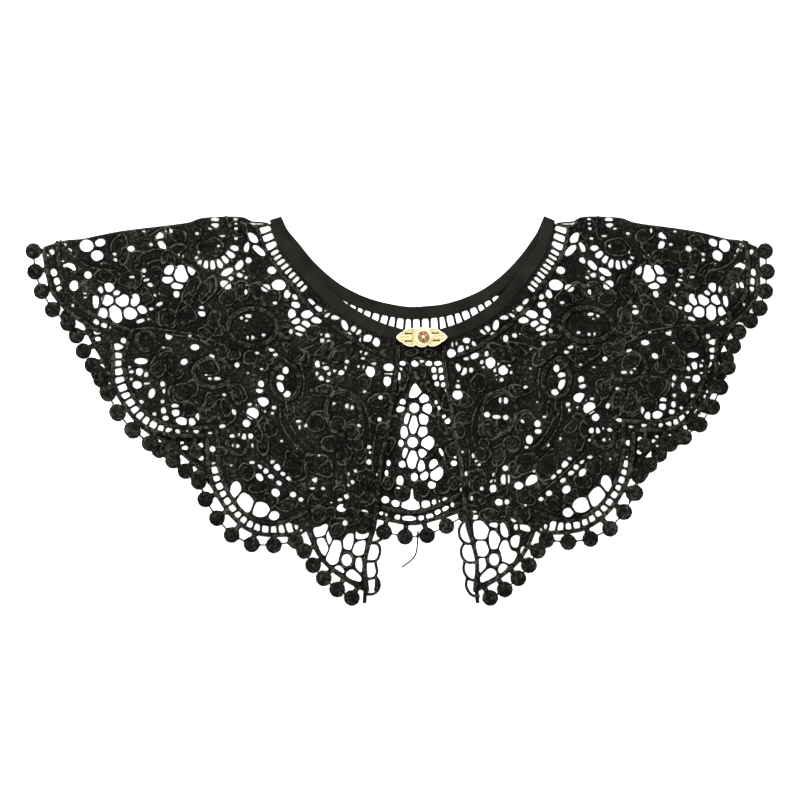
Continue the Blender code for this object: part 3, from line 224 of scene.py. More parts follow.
# The back's own hem: it turns in under the front at the end, and shows again between the scallops
BACK_FOLD = FOLD[:-1] + ((-238, 108.5),)
BACK_HEM = (
    (-234.5, 107.5), (-227, 101), (-222.5, 90.5), (-221.5, 78.5), (-221, 69), (-216.5, 52.5), (-212, 43),
    (-206, 32.5), (-200, 17), (-194.5, 7), (-186.5, -4.5), (-177.5, -13), (-166, -19.5), (-157.5, -25.5),
    (-147.5, -34), (-139.5, -42.5),
)
BACK_HEM_CENTRE = (
    (-49.5, -62), (-38.5, -66.5), (-26.5, -69.5), (-6, -73), (9, -70), (25.5, -64.5), (37, -58),
)
BACK_VALLEY = (-64.5, -71)  # between the third scallop and the middle one

# Middle lines of the neck binding, front from the fold to the clasp, and back from fold to fold
NECK_FRONT = (
    (-94, 123.5), (-91.5, 115), (-86, 104.5), (-74, 89.5), (-62, 76.5), (-49, 65.5), (-29, 54.5),
    (-8.5, 48),
)
NECK_BACK = (
    (-90, 115.5), (-82.5, 106.5), (-73.5, 95.5), (-62.5, 85), (-49.5, 76), (-32, 68.5), (-10, 64),
    (6, 64.5), (17, 66), (30, 70), (43.5, 76.5), (56, 86), (67, 97.5), (75.5, 109), (79.5, 115.5),
)

# Inner cords of the scalloped border, and the cord under the neck ladder
INNER_ONE = (
    (-236.5, 109.5), (-235.5, 98), (-234, 87), (-230, 77.5), (-223, 69.5), (-214, 63), (-202, 57),
    (-188.5, 52),
)
INNER_TWO = (
    (-188.5, 52), (-193, 36), (-193, 28), (-190.5, 17.5), (-186, 8), (-179.5, -0.5), (-171, -6.5),
    (-162, -10), (-150, -11), (-132.5, -10.5),
)
INNER_THREE = (
    (-132.5, -10.5), (-132, -22), (-131.5, -35), (-128.5, -45.5), (-124.5, -54.5), (-117.5, -64),
    (-108.5, -71), (-98, -73.5), (-87, -71.5), (-75, -65.5),
)
NECK_CORD = (
    (-107, 120), (-101.5, 105.5), (-95.5, 95.5), (-88.5, 87), (-80.5, 78.5), (-75, 70), (-67, 62.5),
    (-58, 56), (-46, 48), (-36.5, 41.5), (-23.5, 36),
)
INNER_CENTRE = ((-46, -54), (-36.5, -59), (-26.5, -62.5), (-6, -66), (10.5, -61.5), (22, -56), (32, -50))

# Rows of hem balls: how many, the cord they hang from, and the line through their centres
FRONT_BALLS = (
    (5, HEM_ONE, ((-252, 104), (-251, 91), (-247, 78.5), (-240, 66.5), (-229.5, 57))),
    (
        7, HEM_TWO,
        (
            (-209.5, 24.5), (-204, 12.5), (-197, -1.5), (-187, -13), (-175.5, -21), (-160, -24.5),
            (-147, -26.5),
        ),
    ),
    (
        7, HEM_THREE,
        (
            (-144.5, -43.5), (-140, -58), (-132, -70.5), (-122.5, -81), (-109, -87), (-97, -87.5),
            (-81.5, -84.5),
        ),
    ),
    (5, HEM_TIP, ((-76, -91), (-70, -100.5), (-63, -109), (-54.5, -116), (-45, -121.5))),
)
BACK_BALLS = (
    (4, BACK_HEM, ((-230.5, 88.5), (-231, 75.5), (-229.5, 62), (-224, 49))),
    (3, BACK_HEM, ((-219.5, 39), (-213.5, 29.5), (-208, 20.5))),
    (4, BACK_HEM, ((-204, 12.5), (-197, -1.5), (-187, -13), (-176.5, -21))),
    (4, BACK_HEM, ((-170, -25.5), (-161.5, -32), (-152, -40), (-144.5, -46))), FRONT_BALLS[2],
)
CENTRE_BALLS = (
    6, BACK_HEM_CENTRE, ((-38, -75), (-22.5, -79), (-7.5, -82), (5, -80.5), (17, -74.5), (29, -67.5)),
)
LOOSE_THREAD = ((-2, -78), (-3, -91.5), (-6.5, -97), (-12.5, -101.5))

# Outline of the clasp's upper right quarter
CLASP_EDGE = (
    (17, 0), (14.5, 2.6), (12.9, 3.3), (11.2, 4.8), (8.6, 5.9), (5.8, 6.1), (5, 5.9), (4.3, 4.9),
    (3.5, 5.2), (2.2, 6.2), (0, 6.5),
)

# Gaps in the ground of the half pattern: x, y, half length, half width, turn in degrees
SHARED_GAPS = (
    # net at the shoulder end
    (-217.5, 107.5, 4.5, 4), (-208.5, 109.5, 3.5, 2.5, 15), (-210.5, 101, 4, 3.5),
    (-227.5, 93.5, 5.5, 2.5, -18), (-216.5, 88.5, 2.5, 2.5), (-225.5, 81.5, 3.5, 3, 70),
    (-218, 81.5, 3.5, 2.5, 90), (-218.5, 70, 2.5, 2, -60), (-211.5, 72, 5.5, 2, 90), (-208, 79, 2.5, 2, 60),
    (-203, 80.5, 3.5, 3), (-197.5, 76.5, 2.5, 2, -20), (-204, 72, 4, 3.5), (-194, 72, 4.5, 4, 20),
    (-186, 72, 4.5, 3, 80), (-207, 63.5, 3.5, 3.5), (-198.5, 63, 6, 4, -70), (-189, 63.5, 4.5, 4),
    (-181.5, 66, 3.5, 2.5, -30), (-188.5, 105.5, 2.5, 2), (-169.5, 114, 4, 2, 45), (-168.5, 108, 4, 2, -55),
    # web round its oval eye
    (-163.5, 91.5, 4, 3, 45), (-156, 89, 6, 5, 90), (-150, 91.5, 3.5, 3, -45), (-164.5, 85.5, 4, 2.5, 5),
    (-158.5, 81.5, 4, 2.5), (-159, 76, 2.5, 2, 90),
    # between the motifs of the shoulder
    (-142.5, 63.5, 2.5, 2, -30), (-165, 48.5, 3.5, 2, -5), (-147, 41.5, 3, 2), (-154, 32, 2.5, 2, 30),
    (-182, 32.5, 4.5, 2), (-183, 25.5, 2.5, 2.5), (-184.5, 17, 3, 2.5), (-175, 11.5, 3.5, 2, 70),
    (-126, 90.5, 4.5, 2, 30), (-118, 95, 4, 2, 50), (-112.5, 98, 2.5, 2), (-127, 82, 4, 2.5, -30),
    (-109.5, 112.5, 4.5, 2.5, -45), (-113, 106.5, 3.5, 2, 70), (-105.5, 104.5, 5.5, 2, -42),
    # open net beside the neck
    (-97, 91.5, 3, 2.5), (-92.5, 82, 4.5, 3.5), (-101, 80, 3, 2.5), (-87, 76, 3, 2, 70),
    (-84, 63, 3.5, 2.5, 90), (-74, 63, 4, 2.5, 10), (-81.5, 69, 3, 2, -15), (-81.5, 58.5, 3, 2, 10),
    (-75, 56.5, 3, 2, -20), (-68, 59, 3.5, 2, -10), (-78.5, 53.5, 3.5, 2, -5),
    # middle of the panel
    (-130, 32, 4, 2, -50), (-104, 17.5, 2.5, 2, 90), (-103, 6, 4, 3), (-109.5, -1.5, 4, 4, 45),
    (-113.5, -8, 2.5, 2.5), (-159.5, -1, 2.5, 2.5), (-155.5, -6.5, 4, 2.5, -10), (-149, -7, 2.5, 2.5, 60),
    (-127, -13.5, 2.5, 2), (-127.5, -34, 2.5, 2),
    # wheel
    (-88, 26.5, 2.5, 2, 90), (-91.5, 21.5, 2.5, 2), (-91.5, 16, 4, 2, -70), (-87, 11, 2.5, 2, 30),
    # large cells inside the third scallop
    (-120.5, -51, 5.5, 3.5, 82), (-114, -59.5, 7, 5, -55), (-104.5, -64, 6, 5), (-95.5, -68, 3.5, 3, 20),
    (-105, -43, 3, 2, -50), (-94.5, -53, 3, 2.5, -40), (-78, -49, 4, 2.5, -30), (-71, -44.5, 3.5, 3.5, -30),
    (-55.5, -45, 4, 2.5, 90), (-63.5, -49, 2.5, 2, 90), (-51.5, -63, 3.5, 2.5, 10),
    (-83.5, -10.5, 2.5, 2.5), (-81, -24, 3, 2, -30),
    # along the front edge, under the neck
    (-21, 28.5, 3.5, 2.5), (-22, 19.5, 3.5, 2.5, 85), (-33, 26, 4, 3, -80), (-32, 34.5, 3, 2),
    (-43.5, 36.5, 2.5, 2.5, 90), (-53.5, 29.5, 3, 2, 10),
)
# Gaps of the back's middle column, seen between the fronts, and the eyelets in two of them: x, y, half sizes
CENTRE_GAPS = (
    (2, 8, 3.1, 3), (-4.4, 2.1, 3.5, 3.5), (-12, 5.9, 2, 2), (-13.4, 1.3, 2.8, 2, 20),
    (4.1, 1.6, 3.7, 3, 95), (-8.9, -5.2, 4.2, 2, 80), (-5, -8.8, 5.9, 3.4, 88), (1.5, -5.3, 3.9, 3.3, 90),
    (-10.9, -13.6, 4.2, 2.5, 85), (1, -13.3, 3.6, 3.2, 80), (-5.5, -20.3, 3.6, 3.6),
    (-13.1, -20.9, 2.3, 1.7, 90), (4.4, -20.9, 4.8, 4, 60), (-10.3, -27.3, 3.4, 1.8, 80),
    (-5.6, -31.6, 5.9, 3.8, 88), (0.9, -27, 3.4, 2.7, 60), (-12.2, -34.6, 2.4, 2.2), (0, -35.7, 4, 2.5, 98),
    (8.1, -34.7, 3.6, 2.7, 70), (10.3, -40.7, 4.9, 3.8, 60), (2.1, -42.1, 3.1, 2.4, 70),
    (-4.4, -42.9, 2.8, 2.2, 90), (-13.7, -45.3, 3.4, 2.3, 90), (7, -48, 2.6, 2.5),
)
CENTRE_EYELETS = ((-4.4, 2.1, 4.2, 4.2), (-5.5, -20.3, 4.4, 4.4))

# Padded motifs of the half pattern: name, x, y, half length, half width, turn in degrees
SHARED_MOTIFS = (
    ("shoulder flower", -125, 73.5, 5.5, 4.5, 60), ("shoulder flower", -117.5, 77, 5.5, 4, 100),
    ("shoulder flower", -107, 77, 5.5, 4, 80), ("shoulder flower", -100, 72.5, 5, 4, 50),
    ("shoulder flower", -135, 60.5, 5.5, 4.5, 30), ("shoulder flower", -136, 53.5, 5.5, 4.5, -10),
    ("shoulder flower", -129.5, 39.5, 5.5, 4.5, -45), ("shoulder flower", -122, 37.5, 5, 4, -70),
    ("shoulder flower", -110.5, 34.5, 5.5, 4.5, -95), ("shoulder flower", -101, 34, 5.5, 4.5, -75),
    ("bud", -165.5, 60, 7, 6, 140), ("bud", -153, 61, 7, 6, 40), ("blossom", -171, 29, 8, 5.5, 70),
    ("blossom", -166, 37, 5, 4, 100), ("blossom", -160, 26, 6, 4.5, -60),
    ("scroll heart", -138, 28.5, 7, 5.5, -20), ("trefoil", -159, 10, 6.5, 5, 120),
    ("trefoil", -150, 14, 6, 5, 40), ("trefoil", -149.5, 3, 6, 5, -50), ("tulip", -138.5, 0, 7, 6, -100),
    ("tulip", -128.5, 1, 8, 6, -75), ("tulip", -120, 12.5, 8, 5, -40),
    ("block leaf", -102.5, -17, 13.5, 5, 88), ("top leaf", -149.5, 79.5, 9, 4, 52),
    ("top leaf", -138.5, 79, 10, 4.5, 65), ("half scroll", -137, 106.5, 8.5, 6, 0),
    ("top block", -118.5, 118, 6, 6, 90), ("end leaf", -196.5, 107, 8.5, 5, 70),
    ("end leaf", -205.5, 87, 8, 4.5, -25), ("end leaf", -189, 97, 6, 4, 60),
    ("end leaf", -187, 86.5, 6.5, 6, 0), ("small bloom", -179, 75.5, 5, 4, -70),
    ("small bloom", -165.5, 78.5, 6, 4.5, 40), ("gate", -158, 114, 6.5, 4.5, -30),
    ("gate", -159, 105.5, 6.5, 3, 20), ("spray", -113, -39, 6.5, 5, -60),
    ("spray", -105.5, -49, 7, 4.5, 10), ("spray", -98, -58, 6, 4.5, -50), ("spray", -87, -61, 7, 4, 20),
    ("neck leaf", -81, 37, 11, 5, -40), ("neck leaf", -63, 40.5, 8, 3, 28),
    ("big leaf", -82.5, -36, 11, 7, -70),
)
FRONT_MOTIFS = (
    ("chest flower", -37.5, 18, 6.5, 5, 60), ("chest flower", -28.5, 7, 6, 4.5, 20),
    ("chest flower", -27.5, -5.5, 6, 4.5, -5), ("chest flower", -59, -21, 6.5, 5, -110),
    ("chest flower", -50.5, -29.5, 6.5, 4.5, -90), ("chest flower", -40.5, -27.5, 7, 4.5, -70),
    ("chest flower", -66.5, -4.5, 6.5, 5, 180), ("neck leaf", -52.5, 38.5, 10, 4, 30),
    ("pod", -64.5, 13, 8.5, 4, 0), ("pod", -45, -13, 8, 6, 30), ("big leaf", -66.5, -35, 11, 6, -35),
    ("hem flower", -68, -57, 6.5, 5, 20), ("hem flower", -66, -66.5, 6, 5, -30),
    ("hem flower", -54.5, -73.5, 6, 5, -20), ("hem flower", -44, -69.5, 6.5, 5, 60),
    ("hem flower", -36.5, -45.5, 6, 5, 0), ("hem flower", -36.5, -57.5, 6, 5, 0),
)
CENTRE_MOTIFS = (
    ("centre bud", -1, 27, 8, 5, 90), ("centre leaf", -11, 22, 9, 3.5, 80),
    ("centre leaf", 7, 8, 13, 4, -75), ("centre curl", -12.5, -51.5, 5.5, 4.5, -40),
    ("centre curl", 0, -50, 5.5, 5, 40),
)
# Lobes of each kind of motif, in its half length and half width: along, across, long, wide, taper. Any
# other name is a single petal.
LOBES = {
    "petal": ((0.0, 0.0, 1.0, 1.0, 0.3),),
    "leaf": ((0.2, 0.0, 0.8, 1.0, -0.6), (-0.3, 0.0, 0.7, 0.85, 0.6)),
    "disc": ((0.0, 0.0, 1.0, 1.0, 0.0),),
    "clover": ((0.45, 0.0, 0.6, 0.55, 0.1), (-0.35, 0.5, 0.6, 0.55, 0.0), (-0.35, -0.5, 0.6, 0.55, 0.0)),
    "bell": (
        (-0.3, 0.0, 0.7, 0.6, 0.3), (0.45, 0.55, 0.45, 0.45, 0.1), (0.6, 0.0, 0.4, 0.4, 0.1),
        (0.45, -0.55, 0.45, 0.45, 0.1),
    ),
    "heart": ((0.2, 0.45, 0.8, 0.55, 0.2), (0.2, -0.45, 0.8, 0.55, 0.2), (-0.5, 0.0, 0.5, 0.5, 0.4)),
}
# Raised rings and scrolls: x, y, half length, half width, turn, first and last angle
SHARED_RINGS = (
    (-109.5, 54.5, 16, 12, 0, 0, 360), (-87.5, 51.5, 4, 4, 0, 0, 360), (-135.5, 25, 12.5, 9.5, 0, 20, 330),
    (-88, 19, 9, 12, 0, 0, 360), (-119, -21, 7, 7, 0, 170, 370), (-179, 45.5, 6, 6, 0, 0, 300),
)
FRONT_RINGS = ((-50.5, -1.5, 11, 14.5, 15, 0, 360),)

# What follows is given on a drawing grid of 0.65 mm squares: column, row down
SQUARE = 0.65
GRID_COLUMN, GRID_ROW = 421, 411  # the square at the centre front line and the middle of the chest
# Small gaps between the stitches of the half pattern: column, row, half width, half height, turn in degrees
SMALL_GAPS = (
    # first scallop, between its cords
    (51.8, 252, 2.6, 2.5), (48.2, 254.8, 1.2, 1.2), (53.8, 272.4, 3.1, 3.7, 15),
    (56.9, 281.3, 2.9, 3.6, 15), (59.1, 288.9, 2.6, 2.5, 20), (64, 245.2, 2.6, 2.1),
    (68.6, 250.2, 3.6, 1.9, -15), (63.6, 261.6, 1.7, 0.9, -20), (74.3, 256.3, 1.6, 1.2),
    (86.3, 285.5, 2.6, 3.8), (84.4, 293.3, 2.6, 1.2), (84.8, 297.6, 2.4, 1.2), (85.2, 303.2, 2.8, 2.9),
    (96, 293.2, 2.3, 1.3), (101.6, 262.8, 2.2, 1.2, -20), (72.8, 305.4, 1.3, 1.6),
    (95.6, 321.6, 4.2, 2.2, -35), (104.2, 325.3, 3.4, 2.2, -20), (110.2, 327.3, 1.4, 1.1),
    (97, 332.3, 3.4, 1.8), (97.8, 339, 2.8, 1.9), (77.5, 274.5, 2.6, 0.9),
    # under the neck binding, above the clasp
    (311.4, 301.6, 4.2, 1.7, -42), (318.8, 308.8, 4.3, 2.1, -35), (324, 312, 2.4, 1, 45),
    (327.6, 315.2, 3.3, 1.8, 20), (334.6, 317.4, 4.8, 1.9, -8), (344.6, 325, 2.6, 5.2, 22),
    (353.7, 329, 2.4, 3, -10), (296, 527.5, 1.9, 2.7, -10), (301, 531, 1.3, 2), (349, 333.9, 2.3, 1.4),
    (358.6, 332, 3.2, 1.7, 32), (367.6, 338.2, 4.7, 3.3, 12), (360.4, 339.4, 0.9, 2.7, -25),
    (376.2, 342, 3.4, 4.2, 10), (380.3, 349.8, 2, 1.1),
    # shoulder end
    (106, 270, 2, 1.2), (114.5, 254, 2, 1.5), (115.5, 260, 2, 1.5, -40), (144, 231.5, 2, 0.9),
    (151, 244.5, 2, 1.6), (144.5, 252.5, 1.5, 1.2), (144, 270.5, 2.2, 2), (144, 276.5, 1.8, 1),
    (146.5, 280, 3.2, 1.6), (150, 284.5, 3.2, 1.8, -30), (132, 277, 3, 1.2), (155, 295, 1.8, 1.6),
    (158.5, 293.5, 1.2, 1.1), (159.5, 304, 3.6, 1.6, 25), (151, 309, 2.2, 1.5), (140.5, 321, 4.5, 1.7, 20),
    (148, 319, 1.5, 1), (165.5, 231.5, 3, 2.4), (170, 231, 2.6, 2.5),
    # under the fold
    (197, 233.5, 2, 1.5), (215, 219.5, 4, 2), (215, 225, 3.8, 2.3), (210.5, 228.5, 2.2, 1.1),
    (235.5, 219, 2, 1), (236, 224, 1.5, 1), (236, 228.5, 1.7, 1.8), (236, 238.5, 2, 1.3),
    (222.5, 236, 3, 0.9), (218.5, 246, 1.5, 1.5), (199, 252, 1.2, 1.5), (196.5, 258, 2, 1.5),
    (179, 255, 1.5, 1.4), (182.5, 256, 1.3, 1.2),
    # arc of the fan
    (200, 262, 2.4, 2.4), (206, 264.5, 2.6, 4), (212.5, 265, 2.7, 4.6), (219.5, 263.5, 2.7, 4.6, 20),
    (225, 259.5, 4.2, 2.6, -50), (230.5, 254.5, 4.6, 2.8, -35), (234.5, 248, 4.2, 2.6, -10),
    (240, 275, 3.2, 2.2), (243.5, 271.5, 1.7, 1.1), (246, 277.5, 1.8, 1.7), (247, 286, 2, 1.4),
    (246, 292, 1.5, 3), (231, 278.5, 2.2, 2),
    # round the oval ring
    (248.5, 316, 3.2, 1.7), (241.5, 318, 1.6, 1.6), (246.5, 320.5, 1.5, 0.9), (248, 337.5, 1.6, 1.8),
    (252.5, 337.5, 1.9, 1.9), (263.5, 335, 2, 1.5), (291, 331.5, 2, 2.3), (275, 303, 2.4, 1.6),
    (271.5, 350, 3.2, 1.5, -20), (275.5, 354.5, 2.4, 1.9), (257, 353, 2.2, 1.3), (237, 365, 2.4, 2.5),
    (201.5, 308, 2.5, 2), (163, 336.5, 2.2, 1.5), (190, 335, 1.7, 2.2), (163.5, 347.5, 2, 0.9),
    (123.5, 340.5, 2.6, 2.8), (121.5, 350, 2.4, 1.5),
    # round the scroll
    (212, 356, 3.2, 1.4, -25), (221, 361, 5.2, 2.3, -50), (210, 378.5, 1.9, 1.6), (217, 378.5, 3.6, 1.5),
    (206, 375, 1.5, 1), (248, 373, 1.6, 1), (261.5, 369, 1.8, 1.1), (259.5, 390.5, 3.4, 2.4),
    (250, 404.5, 2.2, 1.5), (257, 404.5, 2.8, 2.2, -60), (224, 395, 2, 1.7), (274, 407.5, 2.2, 1.9),
    (272.5, 413.5, 1.3, 1.9), (265, 411.5, 1.3, 1.1), (295, 297, 2, 3, 30), (298.5, 333.5, 4, 1.7, -25),
    (322, 334.5, 1.4, 1.5), (327, 335.5, 2.8, 2.2), (322.5, 340.5, 2.2, 2.2), (328, 341, 1.9, 1.3),
    (317.5, 364, 2.5, 3.4), (323, 363.5, 1.7, 1), (326, 368, 3.2, 2, -20), (317, 374, 1.6, 2.4),
    (321, 378, 2.8, 2.2, -40), (329, 373.5, 1.5, 2.5), (328, 381, 1.8, 1.3), (338.5, 365.5, 4.6, 2.6, 10),
    (347, 361.5, 1.9, 1.7), (345.5, 367.5, 1.1, 1.9), (335, 370.5, 1.9, 1.9), (341, 372.5, 3, 2.7),
    # second scallop
    (129.5, 367.5, 1.5, 1.6), (131.5, 371.5, 2.4, 1.9), (146, 374.5, 2.2, 2.5), (131, 379, 1.6, 1.2),
    (147, 383.5, 3.2, 0.9), (162.5, 384, 2.2, 2.9), (164, 391, 1.4, 2.7), (162.5, 401.5, 1.9, 1.9),
    (141, 402, 2.7, 2), (154.5, 414, 1.9, 1.7), (163.5, 410.5, 2.4, 3.2), (165.5, 418, 3.1, 2.4),
    (175, 406, 3.7, 2.2), (197.5, 416.5, 1.6, 3.8), (172.5, 433, 2.4, 1.8), (184.5, 433.5, 2.9, 2),
    (191.5, 433.5, 3, 1.7), (198, 436, 1.2, 1.3), (210, 433, 2.7, 1), (182, 443, 1.8, 1.5),
    (185, 448, 3.2, 2.5, -20), (200.5, 445.5, 2.4, 2.6), (212.5, 449, 2.9, 2.9), (201, 458, 2.7, 2.4),
    (213.5, 463.5, 1.9, 1.2), (184.5, 461, 4.4, 3.8), (222.5, 426.5, 3.1, 2.1), (225.5, 432, 3.3, 2.5),
    (232, 436, 2.4, 1.8), (239.5, 434.5, 1.5, 1.3), (244, 436.5, 2.3, 3), (250.5, 436, 2.6, 2.7),
    (233, 445.5, 1.4, 1.3), (237.5, 446, 2.1, 1.7), (252.5, 445.5, 1.2, 2.3), (225, 463.5, 3.6, 2),
    (231, 465, 1.7, 1.1), (252, 462.5, 2.7, 1.5), (260, 466.5, 2.6, 1.4, -45), (234, 412, 1.9, 3.2, 20),
    # bands inside the third scallop
    (272.5, 462, 2.2, 1.9), (277, 467, 3.6, 2.8, -50), (283, 474, 2.7, 1.8, -30),
    (288.5, 478.5, 3, 1.7, -40), (266, 471, 2.4, 2.6), (271, 476.5, 3, 2.1, -20), (279, 483, 3, 2.1, -30),
    (293, 494.5, 3, 2.7), (301, 499.5, 2.4, 2.2), (301, 487.5, 5.2, 3, -35), (310.5, 478.5, 3.6, 5),
    (323.5, 484, 2.2, 2.8), (334, 480, 2.7, 6), (339.5, 480, 1.4, 5.2), (348.5, 474, 1, 1.6),
    (348.5, 485, 1, 1.5), (352.5, 482, 1.9, 1.9), (312.5, 488.5, 2.4, 1),
    # chest
    (354, 354, 2.9, 3.2), (361.5, 352, 1.5, 1.3), (365.5, 353.5, 2.2, 1.4), (363, 358.5, 2.1, 0.9),
    (372.5, 357.5, 4.4, 1.8), (372.5, 364, 3.4, 1.6, 15), (359, 366.5, 1.9, 1.2), (363.5, 367, 1.9, 1.5),
    (381, 351, 2.4, 3.2, -30), (388.5, 374, 4.2, 1), (364.5, 391.5, 1.8, 1.2, 30), (380.5, 397.5, 2.3, 2),
    (379.5, 419.5, 2.1, 2.1), (334, 403.5, 1.9, 1.4, 30), (347, 406, 1.9, 2.2), (352, 407.5, 1.6, 2),
    (359, 425.5, 2.1, 1.2, -20), (298.5, 421.5, 2.8, 1.5), (293, 427.5, 3.7, 3.4), (299, 427, 1.6, 2.6),
    (306, 425.5, 1.3, 2.2, -20), (281.5, 441, 1.5, 1.5), (294.5, 446.5, 2.3, 1.8, -35),
    (300, 449.5, 2.1, 2), (369, 447, 2.2, 1.9), (370, 452.5, 1, 1.6), (369, 462, 2.7, 2.6),
    (319, 455.5, 1.8, 1), (355.5, 471, 1.7, 1.5, -40), (378, 474.5, 1.9, 1.6), (378.5, 480, 1.1, 1.3),
    (382.5, 452.5, 1.2, 2.8, -15),
    # over the tip
    (340, 499.5, 2.8, 1.2, 15), (346.5, 496.5, 2.4, 2.4), (331, 502.5, 1.3, 1.1), (345, 523, 2.4, 2.6),
    (364, 512.5, 3.8, 2.7), (370, 515.5, 1.5, 1),
)
# The right front's chest and lap, from lower left corner to upper right one, and its own gaps there
RIGHT_CHEST, RIGHT_LAP = ((448, 470), (546, 337)), ((460, 532), (537, 470))
RIGHT_CHEST_GAPS = (
    (451.3, 353.5, 4.1, 4.3), (452.9, 344.4, 1.3, 2.6), (456, 343.8, 1.3, 2.1), (466.5, 340.3, 3.7, 2.5),
    (461.5, 349.8, 3.4, 4.2), (466.8, 348.5, 1.9, 2.6), (474, 344, 3.3, 1.5, -55),
    (474.6, 356, 4.6, 2.6, 25), (466.3, 358.8, 2.9, 1.3), (486.6, 353.8, 1.8, 2.8),
    (481.9, 362.3, 1.9, 2.1), (483.5, 366.9, 1.6, 1.2), (490.3, 362.8, 4.9, 5.3),
    (458.5, 367.8, 4.6, 2.2, -65), (464, 371.5, 4.2, 2.6, 50), (470.9, 370, 2.2, 2.4),
    (498.5, 364.4, 1.5, 1.6), (502.9, 370, 4.8, 4.6), (495, 370.3, 1.5, 2.2), (509.1, 365.9, 1.8, 1.2),
    (511.3, 372.5, 1.4, 1.6), (496.3, 375.3, 1.1, 1.3), (501.3, 379.8, 2.3, 1.9), (497, 379, 1.1, 1.4),
    (457.9, 386.3, 2.1, 2.4), (458.1, 381.3, 1.1, 1.2), (457.5, 394.8, 4.9, 4.4),
    (525.6, 387.1, 2.4, 1.5, 20), (500.5, 400.3, 1.8, 2.9), (505.5, 400.6, 2.4, 3.2),
    (486.9, 414.6, 2.8, 2.7), (496.5, 416.9, 3.7, 1.9), (505.9, 417.5, 2.4, 2.7),
    (522.5, 421.3, 2.4, 1.4, -50), (537.5, 423.8, 3, 3.6), (538.1, 431.3, 3.3, 2.5),
    (529.3, 439.5, 3.3, 4.2), (526.3, 447.5, 2, 1.2), (544.4, 416.9, 2, 1.2), (544.5, 447.9, 1.2, 1.6),
    (537.5, 401.9, 1.2, 1.2), (530.3, 368.5, 1.4, 1.1), (531.3, 349.4, 1.8, 1.2), (533.1, 351.7, 1.3, 1.2),
    (543.8, 343.5, 2.2, 2), (505.6, 338.5, 2.4, 3.6), (455, 457.3, 1.4, 1.2), (462.5, 451.9, 1.3, 1.2),
    (473.1, 455.6, 1.3, 2.2), (476.3, 461.5, 1.5, 1.3), (478.7, 464.4, 2, 1.3), (505.3, 468.1, 2.8, 2.7),
    # down toward the tip
    (466.1, 473.7, 1.3, 2.6), (493.9, 474.8, 1.5, 2), (492.8, 481.1, 2.9, 1.6, 20),
    (493.1, 488.9, 3.1, 4.5), (503.5, 479.5, 2.6, 5), (508.7, 479, 1.3, 4.2), (518.6, 485.6, 4.2, 3.7),
    (533.9, 471.1, 1.3, 1.5), (481.7, 488.6, 1.8, 1.9), (471.7, 498.3, 1.2, 2.4), (462.6, 491.7, 1.3, 1.8),
    (498.9, 502.2, 3.8, 3.3), (506.8, 501.9, 2.4, 2.7), (525.2, 505.2, 1.4, 1.5), (473.9, 512.2, 2.8, 1.1),
    (474.7, 516.9, 3.3, 2.5), (513.3, 520.3, 2.8, 1.2, -30), (515.9, 527.2, 1.8, 2.8),
)
RIGHT_LAP_OUTLINES = (
    ((526, 486), (526, 480), (530.5, 475), (536.7, 475), (537.3, 480.5), (531.5, 484.5)),
    ((519.8, 524.2), (529.5, 525.8), (530.5, 532), (520, 529.5)),
)
# Small gaps of the back's middle column
CENTRE_SMALL_GAPS = (
    (434, 370, 2.5, 2.6), (440.5, 370, 2.4, 2.6), (435, 377, 2.4, 2.5), (441.5, 377.5, 2.4, 2.5),
    (437, 383.8, 2.3, 2.2), (443, 384.5, 2.3, 2.2), (402.5, 363.3, 3, 2.2), (438, 363.3, 3.6, 2.2),
    (415, 363.5, 3.6, 2.9), (428.5, 363.3, 3.2, 2.3), (421.5, 361.3, 3.4, 0.9), (399, 376, 1.6, 4.5, 5),
    (401, 369, 1.2, 1.5), (453.8, 463.2, 3, 2.6), (441.2, 452, 4.3, 1.4, -65), (457.5, 482.5, 3.2, 5),
    (461.5, 489.5, 1.2, 2.9), (436, 402, 1.4, 1.8), (439, 408, 1.4, 1.8), (444, 416.5, 1.8, 1.9),
    (447.5, 421, 2.7, 2.7), (388.5, 463, 1.8, 3), (386.5, 473, 1.6, 3), (447, 390, 1.8, 2.2),
    (398.5, 487.5, 2, 1.2), (377, 474.5, 1.6, 1.6), (382.5, 452.5, 1.2, 4, 15), (376.5, 489, 1, 2.6, -15),
    (385.2, 499.7, 3.7, 3.4), (395.6, 503.4, 3.9, 3.2, -20), (425.6, 504.2, 4.5, 3.6, 8),
    (434.2, 502, 2.5, 2.2, 20), (439.3, 501.2, 1.5, 1.2, 20), (444.9, 499.8, 3.2, 2.1, 25),
    (381.3, 513.3, 2.2, 1.5, -10), (386, 514.7, 1.3, 1.2), (397.5, 517.2, 2.9, 2.4, -5),
    (408.7, 518.3, 7.1, 2.3, -2), (421.4, 518, 2.8, 2.4, 5), (429.6, 516.2, 3.8, 2.3, 15),
    (437.7, 512, 3.3, 2.1, 32), (445.2, 508.5, 3.4, 1.9, 30), (452.5, 504.5, 1.5, 2.2),
    (452, 515.3, 3.4, 1.5, 20), (459, 513.7, 1.6, 2.1),
)
# The gap between the two centre curls, and the kite that heads the net, as outlines
CURL_GAP = (
    (400.8, 507), (402.5, 502.5), (407, 501), (410.3, 498.5), (411.4, 488.5), (412.6, 488.5),
    (413.2, 498.5), (416.5, 501.5), (419.5, 503), (419.8, 508.6), (411, 510.2),
)
KITE_GAP = (
    (415, 382.5), (418.5, 387.5), (421.6, 391.8), (418.8, 395.6), (413, 398), (408.6, 397), (411, 388.5),
)
